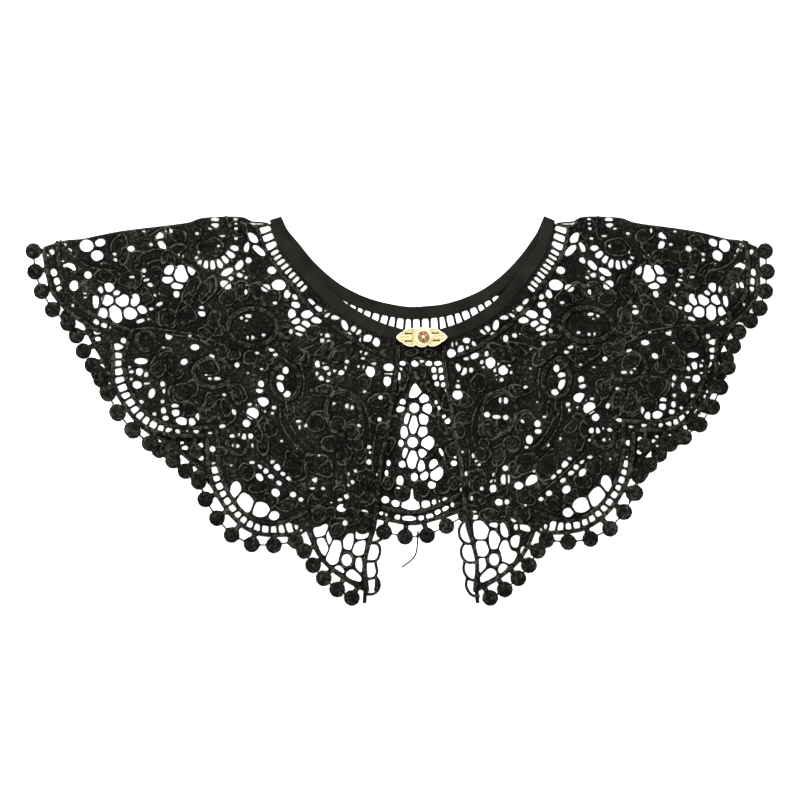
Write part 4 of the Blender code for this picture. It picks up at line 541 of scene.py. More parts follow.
# Thin corded stems and outlines that run between the motifs
STEMS = (
    ((116, 271), (128, 284), (132, 298)), ((128, 330), (148, 328), (166, 330)),
    ((129, 334), (124, 362), (132, 390)), ((142, 254), (156, 249), (170, 251), (180, 258)),
    ((147, 264), (158, 260), (170, 262), (177, 268)), ((166, 330), (190, 334), (212, 340), (228, 349)),
    ((168, 334), (190, 338), (210, 345), (226, 354)),
    ((218, 294), (230, 283), (244, 287), (256, 283), (270, 291)), ((205, 300), (216, 316), (222, 334)),
    ((302, 350), (318, 344), (334, 342)), ((300, 360), (304, 382), (302, 398)),
    ((352, 338), (372, 350), (390, 358)), ((335, 387), (355, 395), (367, 412), (370, 435), (365, 450)),
    ((338, 393), (353, 401), (362, 416), (363, 436)), ((280, 405), (282, 425), (295, 445), (304, 453)),
    ((286, 402), (289, 422), (301, 441), (310, 448)),
    ((258, 458), (268, 467), (280, 477.5), (291, 486), (303, 494)), ((230, 386), (242, 410), (258, 421)),
    ((202, 414), (208, 399), (222, 396), (234, 408)), ((200, 427), (215, 429), (222, 438)),
    ((347, 452), (345, 466), (349, 482)), ((375, 437), (372, 462), (376, 485)),
    ((340, 490), (358, 497), (371, 506)), ((100, 262), (118, 268), (136, 290)),
    ((60, 240), (72, 255), (90, 267), (116, 271)), ((104, 296), (98, 312), (92, 322)),
    ((182, 262), (196, 270), (202, 283)), ((192, 286), (182, 300), (176, 312)),
    ((246, 232), (250, 246), (244, 262)), ((226, 216), (230, 232), (222, 246)),
    ((150, 236), (160, 229), (172, 226)), ((272, 262), (284, 276), (290, 292)),
    ((244, 218), (252, 222), (260, 222.5), (267.5, 223.5)), ((247, 222), (256, 227), (267, 225.5)),
)
# Cells of the net in each front's tip, as outlines, and the eyelet among them in mm: x, y, half sizes
TIP_CELLS = (
    (
        (313, 530), (314.5, 527.5), (319.5, 527), (325.5, 523.5), (328.5, 525.5), (325.5, 533),
        (324.5, 535), (315.5, 537.8),
    ),
    ((316, 540), (319.5, 538), (324, 538), (327.5, 546), (328.5, 549.5), (325, 556.5), (321, 552.5)),
    ((328.3, 530.5), (329.5, 535), (332, 539), (330, 545), (328.5, 544), (326.5, 537.5), (327, 533)),
    (
        (332.5, 541), (334, 540), (340.8, 540.5), (341.5, 550), (340, 553), (339, 558), (338.5, 561.5),
        (334.5, 564.5), (331, 564.8), (327, 561.5), (325.8, 559), (329.5, 550),
    ),
    (
        (343, 540.5), (346, 536), (348.5, 533.5), (353.5, 533.5), (353.5, 541), (351, 549), (350, 549.8),
        (344, 549), (343.5, 545),
    ),
    (
        (356, 531.5), (359.5, 529), (362, 530.5), (367, 532.5), (369.5, 532.8), (367, 538), (357, 539.5),
        (355.5, 537),
    ),
    ((356, 542), (366, 540), (364.8, 548), (363, 555), (355.5, 555.5), (352, 551.5)),
    ((356, 558), (361.5, 557.5), (362.3, 565), (361.5, 573.5), (355, 567)),
    ((346.5, 572), (352.5, 568.5), (361.5, 577), (361, 582), (352, 579.5), (346, 576)),
    ((333.5, 567.5), (339.5, 565), (344, 569.5), (344, 573.5), (339.5, 571)),
)
RIGHT_TIP_CELLS = (
    (
        (473, 521.5), (481.5, 520.5), (485, 524), (489, 529), (487.5, 534), (486, 539), (474.8, 539.2),
        (473.5, 531),
    ),
    ((476, 541), (485, 541), (486.8, 544.5), (489, 551), (485.5, 556.5), (478, 556.5), (476.2, 548)),
    (
        (490.5, 531), (495, 530.5), (498, 535), (500.5, 539), (498, 545), (497.5, 548.5), (491.5, 549.5),
        (489.5, 545), (489, 538),
    ),
    ((500.5, 523), (504, 522.8), (506, 526), (508, 532), (508, 537.5), (503, 536.5), (500.5, 532)),
    ((489, 523.5), (495, 522.5), (497.5, 523), (497.5, 527.5), (493.5, 527.5), (489.5, 525.8)),
    (
        (503, 540.5), (507.5, 540.2), (509.5, 548), (512, 551), (516, 551.5), (517.2, 554.5), (514, 561),
        (510, 564), (505, 562), (501.5, 561), (501.2, 553), (499, 549), (501.5, 543),
    ),
    ((511, 538), (515, 535), (520, 535.5), (519, 543), (517.5, 547.5), (513, 547.5), (510.5, 543)),
    ((520.5, 548), (524, 545.8), (530, 548.5), (520.5, 556.8)),
    ((478.5, 558), (485, 558), (485.5, 562), (486.5, 566), (480, 574), (478.5, 568)),
    ((489.5, 568), (495, 569.5), (497, 575), (488, 580), (480.5, 583.2), (480, 577), (485, 572)),
    ((499, 567), (502, 563), (509, 566), (500, 574.5), (498, 570)),
)
TIP_EYELET, RIGHT_TIP_EYELET = (-48.3, -96.8, 4.3, 4.9), (47.5, -96.5, 4.2, 4.9)
# Picot loops outside the front edge above the tip, the thread that ties them to the back, and the thick knot
PICOTS = (
    ((370, 543.5), (375, 543), (379, 545.5), (380, 551), (378.5, 557.5), (375, 561), (367.5, 561.5)),
    ((372, 543), (377, 541.5), (381, 539.5)),
    ((375.4, 561), (376.3, 566.7), (377, 571.7), (375.4, 576.3), (372.5, 578.3), (366.5, 579)),
    ((375.4, 576.3), (378.5, 580.5), (379.5, 586), (376.5, 592), (372, 594.2), (365.5, 594)),
)
RIGHT_PICOTS = (
    ((464, 521), (460.5, 526), (459, 531), (459.8, 537), (463, 541.5), (468, 543.8), (473.5, 543)),
    ((464.5, 543), (461.5, 548), (461.2, 554), (464, 560), (469, 562.5), (475, 562.5)),
    ((464.5, 561.5), (463.5, 568), (464.5, 573), (468, 578), (472, 580), (476.5, 580)),
    ((466.8, 578.5), (466, 585), (467.5, 590), (471, 594.5), (475, 596), (478.5, 596)),
)
PICOT_KNOT = ((377.3, 580.5), (377.4, 584.5), (376.4, 589.5))
# Smaller motifs of the fronts and of the back's middle: kind, column, row, half sizes in squares, turn
FINE_MOTIFS = (
    # kind, column, row down, half length and half width in squares, turn in degrees
    ("petal", 124, 257, 10, 5, 80), ("petal", 136, 258, 8, 6, 95), ("petal", 127, 280, 9, 8, 0),
    ("heart", 168, 256, 9, 8, -90), ("disc", 157, 271, 6, 6, 0), ("petal", 187, 275, 8, 6, 150),
    ("petal", 167, 318, 10, 9, 170), ("petal", 185, 315, 10, 9, 10), ("leaf", 205, 288, 14, 6, 62),
    ("bell", 214, 324, 13, 10, -88), ("petal", 229, 298, 9, 8, 150), ("petal", 243, 290, 9, 8, 110),
    ("petal", 258, 291, 9, 8, 75), ("petal", 272, 298, 9, 8, 40), ("petal", 295, 352, 10, 8, -60),
    ("disc", 312, 332, 8, 8, 0), ("leaf", 340, 356, 13, 6, 20), ("petal", 250, 357, 8, 7, -110),
    ("petal", 261, 363, 8, 7, -85), ("petal", 270, 353, 7, 6, -60), ("petal", 280, 364, 8, 7, -40),
    ("clover", 166, 364, 13, 14, 90), ("petal", 183, 392, 11, 10, -120), ("petal", 191, 411, 9, 9, -80),
    ("bell", 209, 406, 14, 9, -90), ("bell", 226, 411, 14, 8, -80), ("leaf", 236, 395, 12, 5, -70),
    ("petal", 317, 423, 10, 9, 150), ("disc", 330, 443, 8, 8, 0), ("leaf", 290, 413, 11, 6, 80),
    ("petal", 337, 424, 9, 7, 60), ("petal", 350, 432, 9, 7, 10), ("petal", 344, 452, 9, 7, -50),
    ("heart", 315, 463, 12, 11, -20), ("disc", 318, 492, 7, 7, 0), ("disc", 318, 515, 7, 7, 0),
    ("petal", 338, 530, 8, 7, 60), ("petal", 331, 512, 6, 6, 0), ("petal", 340, 491, 7, 6, 90),
    ("petal", 351, 514, 7, 7, 0), ("bell", 365, 481, 12, 9, 90), ("disc", 365, 497, 6, 6, 0),
    ("petal", 387, 483, 7, 6, 0), ("petal", 383, 430, 9, 6, 80), ("disc", 358, 444, 6, 6, 0),
    ("petal", 385, 400, 8, 5, 80), ("petal", 322, 388, 8, 4, 0), ("petal", 257, 434, 5, 9, 0),
    ("heart", 188, 300, 6, 6, 0), ("petal", 204, 334, 8, 6, -60), ("petal", 146, 300, 8, 6, 60),
    ("petal", 120, 300, 7, 5, 20), ("petal", 270, 430, 8, 6, -60), ("petal", 219, 452, 8, 5, 30),
)
CENTRE_FINE_MOTIFS = (
    ("petal", 405.8, 369, 7.5, 4, 88), ("petal", 420, 371, 9.5, 6, 90), ("leaf", 430, 396, 16, 4.5, -58),
    ("petal", 450, 433, 7, 7, 0), ("petal", 452, 450, 7, 7, 0), ("leaf", 431, 452, 11, 3.5, 40),
    ("leaf", 447, 460, 12, 3.5, -62), ("leaf", 442, 424, 10, 4.5, -70), ("petal", 396, 388, 8, 5, 80),
    ("petal", 392, 424, 9, 5, 75), ("petal", 390, 446, 9, 5, 80), ("petal", 446, 402, 9, 5, -75),
    ("disc", 387.5, 483, 7, 7, 0), ("disc", 403, 494, 8, 8, 0), ("disc", 421.7, 489, 9, 8.5, 0),
    ("disc", 441.7, 487, 8, 8, 0), ("petal", 411, 352, 7, 4, 0), ("petal", 431, 352, 7, 4, 180),
)

# Cells of a relief's grid, by which corners are held: corners 0 to 3 go round, and 4 to 7 are the crossings
# after each
CELL_POLYGONS = {
    1: [(0, 4, 7)],
    2: [(1, 5, 4)],
    3: [(0, 1, 5, 7)],
    4: [(2, 6, 5)],
    5: [(0, 4, 7), (2, 6, 5)],
    6: [(1, 2, 6, 4)],
    7: [(0, 1, 2, 6, 7)],
    8: [(3, 7, 6)],
    9: [(0, 4, 6, 3)],
    10: [(1, 5, 4), (3, 7, 6)],
    11: [(0, 1, 5, 6, 3)],
    12: [(2, 3, 7, 5)],
    13: [(0, 4, 5, 2, 3)],
    14: [(1, 2, 3, 7, 4)],
    15: [(0, 1, 2, 3)],
}


def ramp(value, low, high):
    return min(1.0, max(0.0, (value - low) / (high - low)))


def quarter_round(share):
    """The height of a quarter circle, from 0 at its foot to 1 at its top."""
    return np.sqrt(np.clip(1 - (1 - np.clip(share, 0, 1)) ** 2, 0, 1))


def half_turned(points):
    """The same points on the other half, which doesn't lie quite as this one does."""
    turned = []
    for x, y in points:
        reach = -x
        drawn = DRAW_RATE * max(0.0, reach - DRAW_FROM_REACH) ** 2
        leaned = LEAN_RATE * max(0.0, y - LEAN_FROM_Y)
        lifted = LIFT * ramp(reach, *LIFT_REACHES) * (1 - ramp(y, *LIFT_HEIGHTS))
        turned.append((reach - drawn - leaned, y + lifted))
    return turned


def laid(points, turned, tuck=0.0):
    """The points as an array, on the half asked for. The far ones of the turned half are tucked in."""
    points = np.array(half_turned(points) if turned else points, float)
    if turned and tuck:
        points[:, 0] -= tuck * np.interp(points[:, 0], TUCK_REACHES, (0, 1))
    return points


def run_along(line):
    return np.concatenate([[0.0], np.cumsum(np.linalg.norm(np.diff(line, axis=0), axis=1))])


def smooth(points, spacing):
    """Points at an even spacing along a Catmull-Rom curve through the given ones."""
    route = [np.array(p, float) for p in points]
    ends = [2 * route[0] - route[1]] + route + [2 * route[-1] - route[-2]]
    fine = []
    for before, start, stop, after in zip(ends, ends[1:], ends[2:], ends[3:]):
        slope, bend = stop - before, 2 * before - 5 * start + 4 * stop - after
        twist = 3 * start - before - 3 * stop + after
        for t in np.arange(0, 1, 1 / 12):
            fine.append(0.5 * (2 * start + slope * t + bend * t**2 + twist * t**3))
    fine = np.array(fine + [route[-1]])
    run = run_along(fine)
    places = np.linspace(0.0, run[-1], max(2, round(run[-1] / spacing) + 1))
    return np.column_stack([np.interp(places, run, fine[:, axis]) for axis in (0, 1)])


def headings(path):
    along = np.gradient(path, axis=0)
    return along / np.linalg.norm(along, axis=1)[:, None]


def shifted(path, distance):
    """The path moved to its left by distance, as seen walking along it."""
    along = headings(path)
    return path + distance * np.column_stack([-along[:, 1], along[:, 0]])


def on_oval(x, y, half_length, half_width, turn, angles):
    across, up = math.cos(math.radians(turn)), math.sin(math.radians(turn))
    u, v = half_length * np.cos(angles), half_width * np.sin(angles)
    return np.column_stack([x + u * across - v * up, y + u * up + v * across])


def oval(x, y, half_length, half_width, turn=0):
    angles = 2 * math.pi * (np.arange(OVAL_SIDES) + 0.5) / OVAL_SIDES
    return on_oval(x, y, half_length, half_width, turn, angles)


def ring_line(x, y, half_length, half_width, turn, first=0, last=360):
    steps = max(6, round((last - first) / RING_STEP))
    return on_oval(x, y, half_length, half_width, turn, np.radians(np.linspace(first, last, steps + 1)))


def rounded(polygon, rounds=2):
    """The polygon with its corners cut off, and cut again."""
    for _ in range(rounds):
        following = np.roll(polygon, -1, axis=0)
        cuts = np.stack([0.8 * polygon + 0.2 * following, 0.2 * polygon + 0.8 * following], axis=1)
        polygon = cuts.reshape(-1, 2)
    return polygon


def area_of(polygon):
    x, y = polygon[:, 0], polygon[:, 1]
    return abs(float((x * np.roll(y, -1) - y * np.roll(x, -1)).sum())) / 2


def ladder(
    outer, inner, pitch=LADDER_PITCH, clear=LADDER_CLEAR, rung=LADDER_RUNG, least=LADDER_LEAST,
    widest=LADDER_WIDEST,
):
    """Four-sided gaps between two cords, one for each rung's pitch along the outer one."""
    outer = smooth(outer, pitch / 4)
    inner = smooth(inner, pitch / 4)
    gaps = []
    for first in range(0, len(outer) - 4, 4):
        a, b = outer[first], outer[first + 4]
        c = inner[np.linalg.norm(inner - b, axis=1).argmin()]
        d = inner[np.linalg.norm(inner - a, axis=1).argmin()]
        quad = np.array([a, b, c, d])
        middle = quad.mean(axis=0)
        across = (d + c - a - b) / 2
        along = (b + c - a - d) / 2
        width, length = np.linalg.norm(across), np.linalg.norm(along)
        if np.linalg.norm(c - d) < least or not least + 2 * clear < width < widest:
            continue
        basis = np.column_stack([along, across])
        local = np.linalg.solve(basis, (quad - middle).T).T
        gaps.append(rounded(middle + (local * (1 - 2 * rung / length, 1 - 2 * clear / width)) @ basis.T))
    return gaps


def spots_on_grid(points):
    """Places given in squares of the drawing grid, in millimetres."""
    return [((column - GRID_COLUMN) * SQUARE, (GRID_ROW - row) * SQUARE) for column, row in points]


def outline_on_grid(points):
    return rounded(np.array(spots_on_grid(points)))


def small_gap(column, row, half_width, half_height, turn=0):
    x, y = spots_on_grid([(column, row)])[0]
    return oval(x, y, half_width * SQUARE, half_height * SQUARE, turn)


def motifs_on_grid(rows):
    return tuple(
        (kind, *spots_on_grid([(column, row)])[0], a * SQUARE, b * SQUARE, turn)
        for kind, column, row, a, b, turn in rows
    )


def moat(far):
    """How fully the ground is sunk, so far outside a cord or motif."""
    return np.clip(MOAT_FULL - abs(far - MOAT / 2) / MOAT, 0, 1)


def numbered(mask, first):
    """Numbers for the places of a mask that are true, from first up, and -1 for the others."""
    numbers = np.full(mask.shape, -1)
    numbers[mask] = first + np.arange(mask.sum())
    return numbers


def lone_sides(faces, first_on_edge, total):
    """The triangles' sides that lie along the edge, from start to stop, and that no other triangle shares."""
    on_edge = faces >= first_on_edge
    sides = [(faces[:, a], faces[:, b], on_edge[:, a] & on_edge[:, b]) for a, b in ((0, 1), (1, 2), (2, 0))]
    starts = np.concatenate([a[on] for a, b, on in sides])
    stops = np.concatenate([b[on] for a, b, on in sides])
    lone = ~np.isin(starts * total + stops, stops * total + starts)
    return starts[lone], stops[lone]


def inside_edges(points, starts, stops):
    """Which points lie inside the directed edges, by the even-odd rule."""
    order = np.argsort(points[:, 1])
    x, y = points[order, 0], points[order, 1]
    low, high = np.minimum(starts[:, 1], stops[:, 1]), np.maximum(starts[:, 1], stops[:, 1])
    first, last = np.searchsorted(y, low), np.searchsorted(y, high)
    found = np.zeros(len(points), bool)
    for k in np.nonzero(last > first)[0]:
        span = slice(first[k], last[k])
        run, rise = stops[k] - starts[k]
        at = starts[k, 0] + (y[span] - starts[k, 1]) * run / rise
        found[span] ^= x[span] < at
    back = np.zeros(len(points), bool)
    back[order] = found
    return back


def mesh_piece(name, spots, faces):
    """A piece from points given in millimetres."""
    data = bpy.data.meshes.new(name)
    data.from_pydata((np.asarray(spots) * MM).tolist(), [], faces)
    made = bpy.data.objects.new(name, data)
    bpy.context.scene.collection.objects.link(made)
    return made


def note_lay(made, lay):
    """Notes at each point how the thread or cloth lies: how far along it, how far across, and which side."""
    noted = made.data.attributes.new("lay", "FLOAT_VECTOR", "POINT")
    noted.data.foreach_set("vector", (np.asarray(lay) * MM).ravel())


class Relief:
    """A piece drawn as heights over a fine grid: how far inside its edge, and how high, each point is."""

    def __init__(self, columns, rows):
        self.x, self.y = columns, rows
        shape = (len(rows), len(columns))
        self.wall = np.full(shape, -FAR)  # distance inside the edge
        self.rise = np.zeros(shape)  # height over the ground
        self.run, self.side = np.zeros(shape), np.zeros(shape)  # place along and across the thread
        self.tone = np.zeros(shape)
        self.near, self.near_run = np.full(shape, NOTHING_NEAR), np.zeros(shape)  # the nearest cord or motif
        self.moat = np.zeros(shape)
        self.open = np.full(shape, -FAR)  # the nearest marked gap
        self.open_next = np.full(shape, -FAR)  # and the next

    def window(self, points, reach):
        low, high = points.min(axis=0) - reach, points.max(axis=0) + reach
        columns = np.searchsorted(self.x, (low[0], high[0]))
        rows = np.searchsorted(self.y, (low[1], high[1]))
        return slice(*rows), slice(*columns)

    def measure(self, line, reach):
        """Round a line: the window, distance from it, run along it and side of it."""
        win = self.window(line, reach)
        x, y = self.x[win[1]], self.y[win[0]]
        far = np.full((len(y), len(x)), float(reach))
        run, side = np.zeros(far.shape), np.zeros(far.shape)
        walked = 0.0
        for start, stop in zip(line, line[1:]):
            step = stop - start
            length = math.hypot(*step)
            if length < 1e-6:
                continue
            low, high = np.minimum(start, stop) - reach, np.maximum(start, stop) + reach
            i = slice(*np.searchsorted(x, (low[0], high[0])))
            j = slice(*np.searchsorted(y, (low[1], high[1])))
            dx, dy = x[i][None] - start[0], y[j][:, None] - start[1]
            t = np.clip((dx * step[0] + dy * step[1]) / length**2, 0, 1)
            off = np.hypot(dx - t * step[0], dy - t * step[1])
            closer = off < far[j, i]
            far[j, i][closer] = off[closer]
            run[j, i][closer] = (walked + t * length)[closer]
            side[j, i][closer] = np.sign(step[0] * dy - step[1] * dx)[closer]
            walked += length
        return win, far, run, side

    def signed(self, polygon):
        """The window round a polygon, and the distance inside its edge, below 0 outside."""
        closed = np.vstack([polygon, polygon[:1]])
        win, far, _, _ = self.measure(closed, FAR)
        x, y = self.x[win[1]], self.y[win[0]]
        within = np.zeros(far.shape, bool)
        for (x0, y0), (x1, y1) in zip(closed, closed[1:]):
            if y0 == y1:
                continue
            j = slice(*np.searchsorted(y, (min(y0, y1), max(y0, y1))))
            at = x0 + (y[j] - y0) * (x1 - x0) / (y1 - y0)
            within[j] ^= x[None] < at[:, None]
        return win, np.where(within, far, -far)

    def widen(self, win, depth):
        self.wall[win] = np.maximum(self.wall[win], depth)

    def join(self, polygon):
        self.widen(*self.signed(polygon))

    def cut(self, polygon, ease=0.0):
        """Marks a gap. open_gaps() cuts all that are marked."""
        win, depth = self.signed(polygon)
        depth = depth + ease
        best, following = self.open[win], self.open_next[win]
        self.open_next[win] = np.maximum(np.minimum(best, depth), following)
        self.open[win] = np.maximum(best, depth)

    def open_gaps(self, grow=NET_GROW, bar=BAR):
        """Cuts the marked gaps, each drawn out toward its neighbours until only a bar is left between."""
        toward = np.clip(1 + self.open_next / NET_REACH, 0, 1)
        clear = np.minimum(self.open + grow * toward, (self.open - self.open_next - bar) / 2)
        self.wall = np.minimum(self.wall, -clear)
        self.open[:], self.open_next[:] = -FAR, -FAR

    def draw(self, win, body, rise, run, side, tone):
        """Puts the look of a cord, motif or ball over its body in the window."""
        for layer, values in ((self.rise, rise), (self.run, run), (self.side, side), (self.tone, tone)):
            layer[win][body] = np.broadcast_to(values, body.shape)[body]

    def lead(self, win, closer, far, run):
        """Lets the ground's stitches follow a cord or motif where no other one is nearer."""
        self.near[win][closer] = far[closer]
        self.near_run[win][closer] = run[closer]

    def sink(self, win, far):
        """Sinks the ground beside a cord or motif, far outside which it is, and clears it inside."""
        self.moat[win] = np.where(far < 0, 0.0, np.maximum(self.moat[win], moat(far)))

    def cord(self, line, half, height, tone=CORD_HIGHLIGHT, ridges=1):
        """A raised cord along the line. With two ridges it is a pair of cords laid side by side."""
        win, far, run, side = self.measure(np.asarray(line, float), max(FOLLOWED, 2 * half))
        self.widen(win, half - far)
        self.lead(win, far < self.near[win], far, run)
        width = half / ridges
        off = far if ridges == 1 else abs(far - width)
        profile = height * np.sqrt(np.clip(1 - (off / width) ** 2, 0, None)) * (far < half)
        profile *= 1 + TWIST_RISE * np.sin(2 * math.pi * (run / TWIST + side * far / TWIST_SLANT))
        above = (far < half) & (profile + CORD_OVER > self.rise[win])
        # Its painted highlight keeps to the crest of the cord, as a power of the height.
        self.draw(win, above, profile, run, side * far, tone * np.clip(profile / height, 0, 1) ** GLINT)
        self.sink(win, far - half)

    def lobes_depth(self, kind, u, v, half_length, half_width):
        """The distance inside a motif's outline, below 0 outside."""
        depth = np.full(u.shape, -FAR)
        for along, across, long, wide, taper in LOBES.get(kind, LOBES["petal"]):
            a, b = half_length * long, half_width * wide
            lobe_u, lobe_v = u - half_length * along, v - half_width * across
            q = np.hypot(lobe_u / a, lobe_v / (b * (1 + taper * np.clip(lobe_u / a, -1, 1))))
            outside = np.hypot(lobe_u, lobe_v) * (1 - 1 / np.maximum(q, 1.0))
            depth = np.maximum(depth, np.where(q < 1, (1 - q) * min(a, b), -outside))
        return depth

    def motif(self, kind, x, y, half_length, half_width, turn):
        """A padded motif over all that lies under it: corded outlines, and stitches fanned from its foot."""
        win = self.window(oval(x, y, half_length, half_width, turn), FOLLOWED)
        grid_x, grid_y = self.x[win[1]][None], self.y[win[0]][:, None]
        dx = grid_x - x + WANDER * np.sin(0.47 * grid_y + 1.7 * np.sin(0.21 * grid_x))
        dy = grid_y - y + WANDER * np.sin(0.43 * grid_x + 1.4 * np.sin(0.27 * grid_y))
        across, up = math.cos(math.radians(turn)), math.sin(math.radians(turn))
        u, v = dx * across + dy * up, dy * across - dx * up
        depth = self.lobes_depth(kind, u, v, half_length, half_width)
        body = depth > -SKIRT
        fan = np.arctan2(v, u + FAN_FOOT * half_length) * FAN_SPREAD * half_length
        inward = np.clip(depth / max(float(depth.max()), 1.0), 0, 1)
        pad = MOTIF_RISE * (PAD_EDGE + PAD_MIDDLE * np.sqrt(inward))
        ribs = PAD_RIB * np.cos(2 * math.pi * fan / RIB) * np.clip(depth / RIB_RAMP - RIB_START, 0, 1)
        outer = RIM * np.exp(-(((depth - RIM_IN) / RIM_WIDTH) ** 2))
        inner = SECOND_RIM * np.exp(-(((depth - SECOND_RIM_IN) / RIM_WIDTH) ** 2))
        groove = GROOVE * np.exp(-(((depth - (RIM_IN + SECOND_RIM_IN) / 2) / GROOVE_WIDTH) ** 2))
        profile = (pad + ribs + outer + inner - groove) * np.clip((depth + SKIRT) / SKIRT_RAMP, 0, 1)
        # Painted highlights on the two outlines and the crests of the ribs, and painted shade in the groove
        # between the outlines.
        light = RIM_LIGHT * outer + SECOND_RIM_LIGHT * inner + ribs - GROOVE_SHADE * groove + PAD_TONE
        self.widen(win, depth)
        self.draw(win, body, profile, fan, u, np.clip(light, 0, 1))
        along = np.arctan2(v, u) * (half_length + half_width) / 2
        self.lead(win, (-depth < self.near[win]) & ~body, -depth, along)
        self.sink(win, -depth - SKIRT)

    def ball(self, centre):
        """A hem ball: thread wound over a core, lumpy at its rim, with a dimple in its middle."""
        win = self.window(np.array([centre]), BALL_RADIUS + 1)
        dx, dy = self.x[win[1]][None] - centre[0], self.y[win[0]][:, None] - centre[1]
        angle, far = np.arctan2(dy, dx), np.hypot(dx, dy)
        phases = centre[0], 2 * centre[1]
        lumps = sum(size * np.cos(count * angle + phase) for (count, size), phase in zip(BALL_LUMPS, phases))
        depth = BALL_RADIUS * (1 + lumps) - far
        dome = BALL_RISE * np.sqrt(np.clip(1 - (far / (BALL_RADIUS + BALL_SKIRT / 2)) ** 2, 0, 1))
        windings = WINDING_RISE * np.cos(BALL_WINDINGS * angle) * np.clip(far / BALL_RADIUS, 0, 1)
        dome += windings - BALL_DIMPLE * np.exp(-((far / DIMPLE_RADIUS) ** 2))
        self.widen(win, depth)
        self.draw(win, depth > -BALL_SKIRT, np.maximum(dome, 0), angle * BALL_RADIUS, far, BALL_TONE)

    def press_under(self, edge):
        """Presses the lace flat where the folded binding grips it."""
        win, far, _, _ = self.measure(edge, BINDING_WIDTH / 2)
        self.rise[win] *= np.clip((far - NECK_TUCK) / NECK_RISE, 0, 1)

    def stitch_ground(self):
        """The ground between the motifs: rows of stitches that echo their edges, with pressed lines."""
        bare = (self.rise < PLAIN_RISE) & (self.wall > 0)
        right, up = self.x[None], self.y[:, None]
        stray = np.sin(right * 0.9 + 1.3 * np.sin(up * 0.7)) * np.cos(up * 1.1)
        echo = np.cos(2 * math.pi * (self.near - FIRST_ROW + ROW_STRAY * stray) / ECHO)
        row = np.floor((self.near - FIRST_ROW + ECHO / 2) / ECHO)
        across = np.cos(2 * math.pi * self.near_run / RIB + STITCH_SHIFT * row)
        shown = np.clip((PLAIN_FROM - self.near) / PLAIN_RAMP, 0, 1)
        ground = PLAIN_RISE + shown * (ECHO_RISE * echo * (0.6 + 0.4 * stray) + STITCH_RISE * across)
        selvedge = np.clip(SELVEDGE_FULL - self.wall / SELVEDGE, 0, 1)
        ground = ground * (1 - self.moat) - MOAT_DEPTH * self.moat
        ground = ground * (1 - selvedge) + SELVEDGE_RISE * selvedge
        run = np.where(shown > 0, self.near_run, self.x[None])
        side = np.where(shown > 0, self.near, self.y[:, None])
        # Painted light and shade by height: lighter on the raised rows, darker down in the low ground beside
        # cords and motifs, and a painted highlight on the raised stitches at a gap.
        light = GROUND_TONE + GROUND_LIGHT * ground + SELVEDGE_LIGHT * selvedge
        self.draw(slice(None), bare, ground, run, side, np.clip(light, 0, 1))

    def crossings(self, mask, dj, di):
        """Where the edge crosses the grid's lines, and the inner grid point beside each crossing."""
        j, i = np.nonzero(mask)
        one, two = self.wall[j, i], self.wall[j + dj, i + di]
        t = np.clip(one / (one - two), LEAST_STEP, 1 - LEAST_STEP)
        x = self.x[i] + t * (self.x[i + di] - self.x[i])
        y = self.y[j] + t * (self.y[j + dj] - self.y[j])
        inner = one > 0
        return np.column_stack([x, y]), np.where(inner, j, j + dj), np.where(inner, i, i + di)

    def top(self):
        """The top: its points on the plan, the grid point that gives each its height, and its triangles.

        The points inside the edge come first, then those on the edge. The last value is how many are inside.
        """
        held = self.wall > 0
        count = int(held.sum())
        between_x, between_y = held[:, :-1] != held[:, 1:], held[:-1] != held[1:]
        grid, on_x = numbered(held, 0), numbered(between_x, count)
        on_y = numbered(between_y, count + between_x.sum())
        j, i = np.nonzero(held)
        place_x, jx, ix = self.crossings(between_x, 0, 1)
        place_y, jy, iy = self.crossings(between_y, 1, 0)
        place = np.vstack([np.column_stack([self.x[i], self.y[j]]), place_x, place_y])
        source = np.concatenate([j, jx, jy]), np.concatenate([i, ix, iy])
        code = held[:-1, :-1] * 1 + held[:-1, 1:] * 2 + held[1:, 1:] * 4 + held[1:, :-1] * 8
        corner = [grid[:-1, :-1], grid[:-1, 1:], grid[1:, 1:], grid[1:, :-1]]
        corner += [on_x[:-1], on_y[:, 1:], on_x[1:], on_y[:, :-1]]
        faces = []
        for kind, polygons in CELL_POLYGONS.items():
            chosen = code == kind
            for polygon in polygons:
                spots = [corner[k][chosen] for k in polygon]
                for second, third in zip(spots[1:], spots[2:]):
                    faces.append(np.column_stack([spots[0], second, third]))
        return place, source, np.vstack(faces), count

    def fold_points(self, fold):
        """Points on either side of the line where the underside turns down along the shoulder fold."""
        line = smooth(fold, LIP_STEP)[1:-1]
        points = np.vstack([line - (0, LIP), line - (0, LIP + SEAM)])
        j, i = np.searchsorted(self.y, points[:, 1]), np.searchsorted(self.x, points[:, 0])
        return points[self.wall[j, i] > 1.0]

    def skin(self, name, level, fold=None):
        """A closed mesh: the relief above its edge, and a plain underside, both turned down at the fold."""
        place, source, faces, count = self.top()
        starts, stops = lone_sides(faces, count, len(place))
        depth = self.wall[source]
        depth[count:] = 0.0
        rise = self.rise[source] * np.clip(EDGE_RELIEF + depth / RELIEF_RAMP, 0, 1)
        upper = level + EDGE + (GROUND - EDGE) * quarter_round(depth / ROUND) + rise

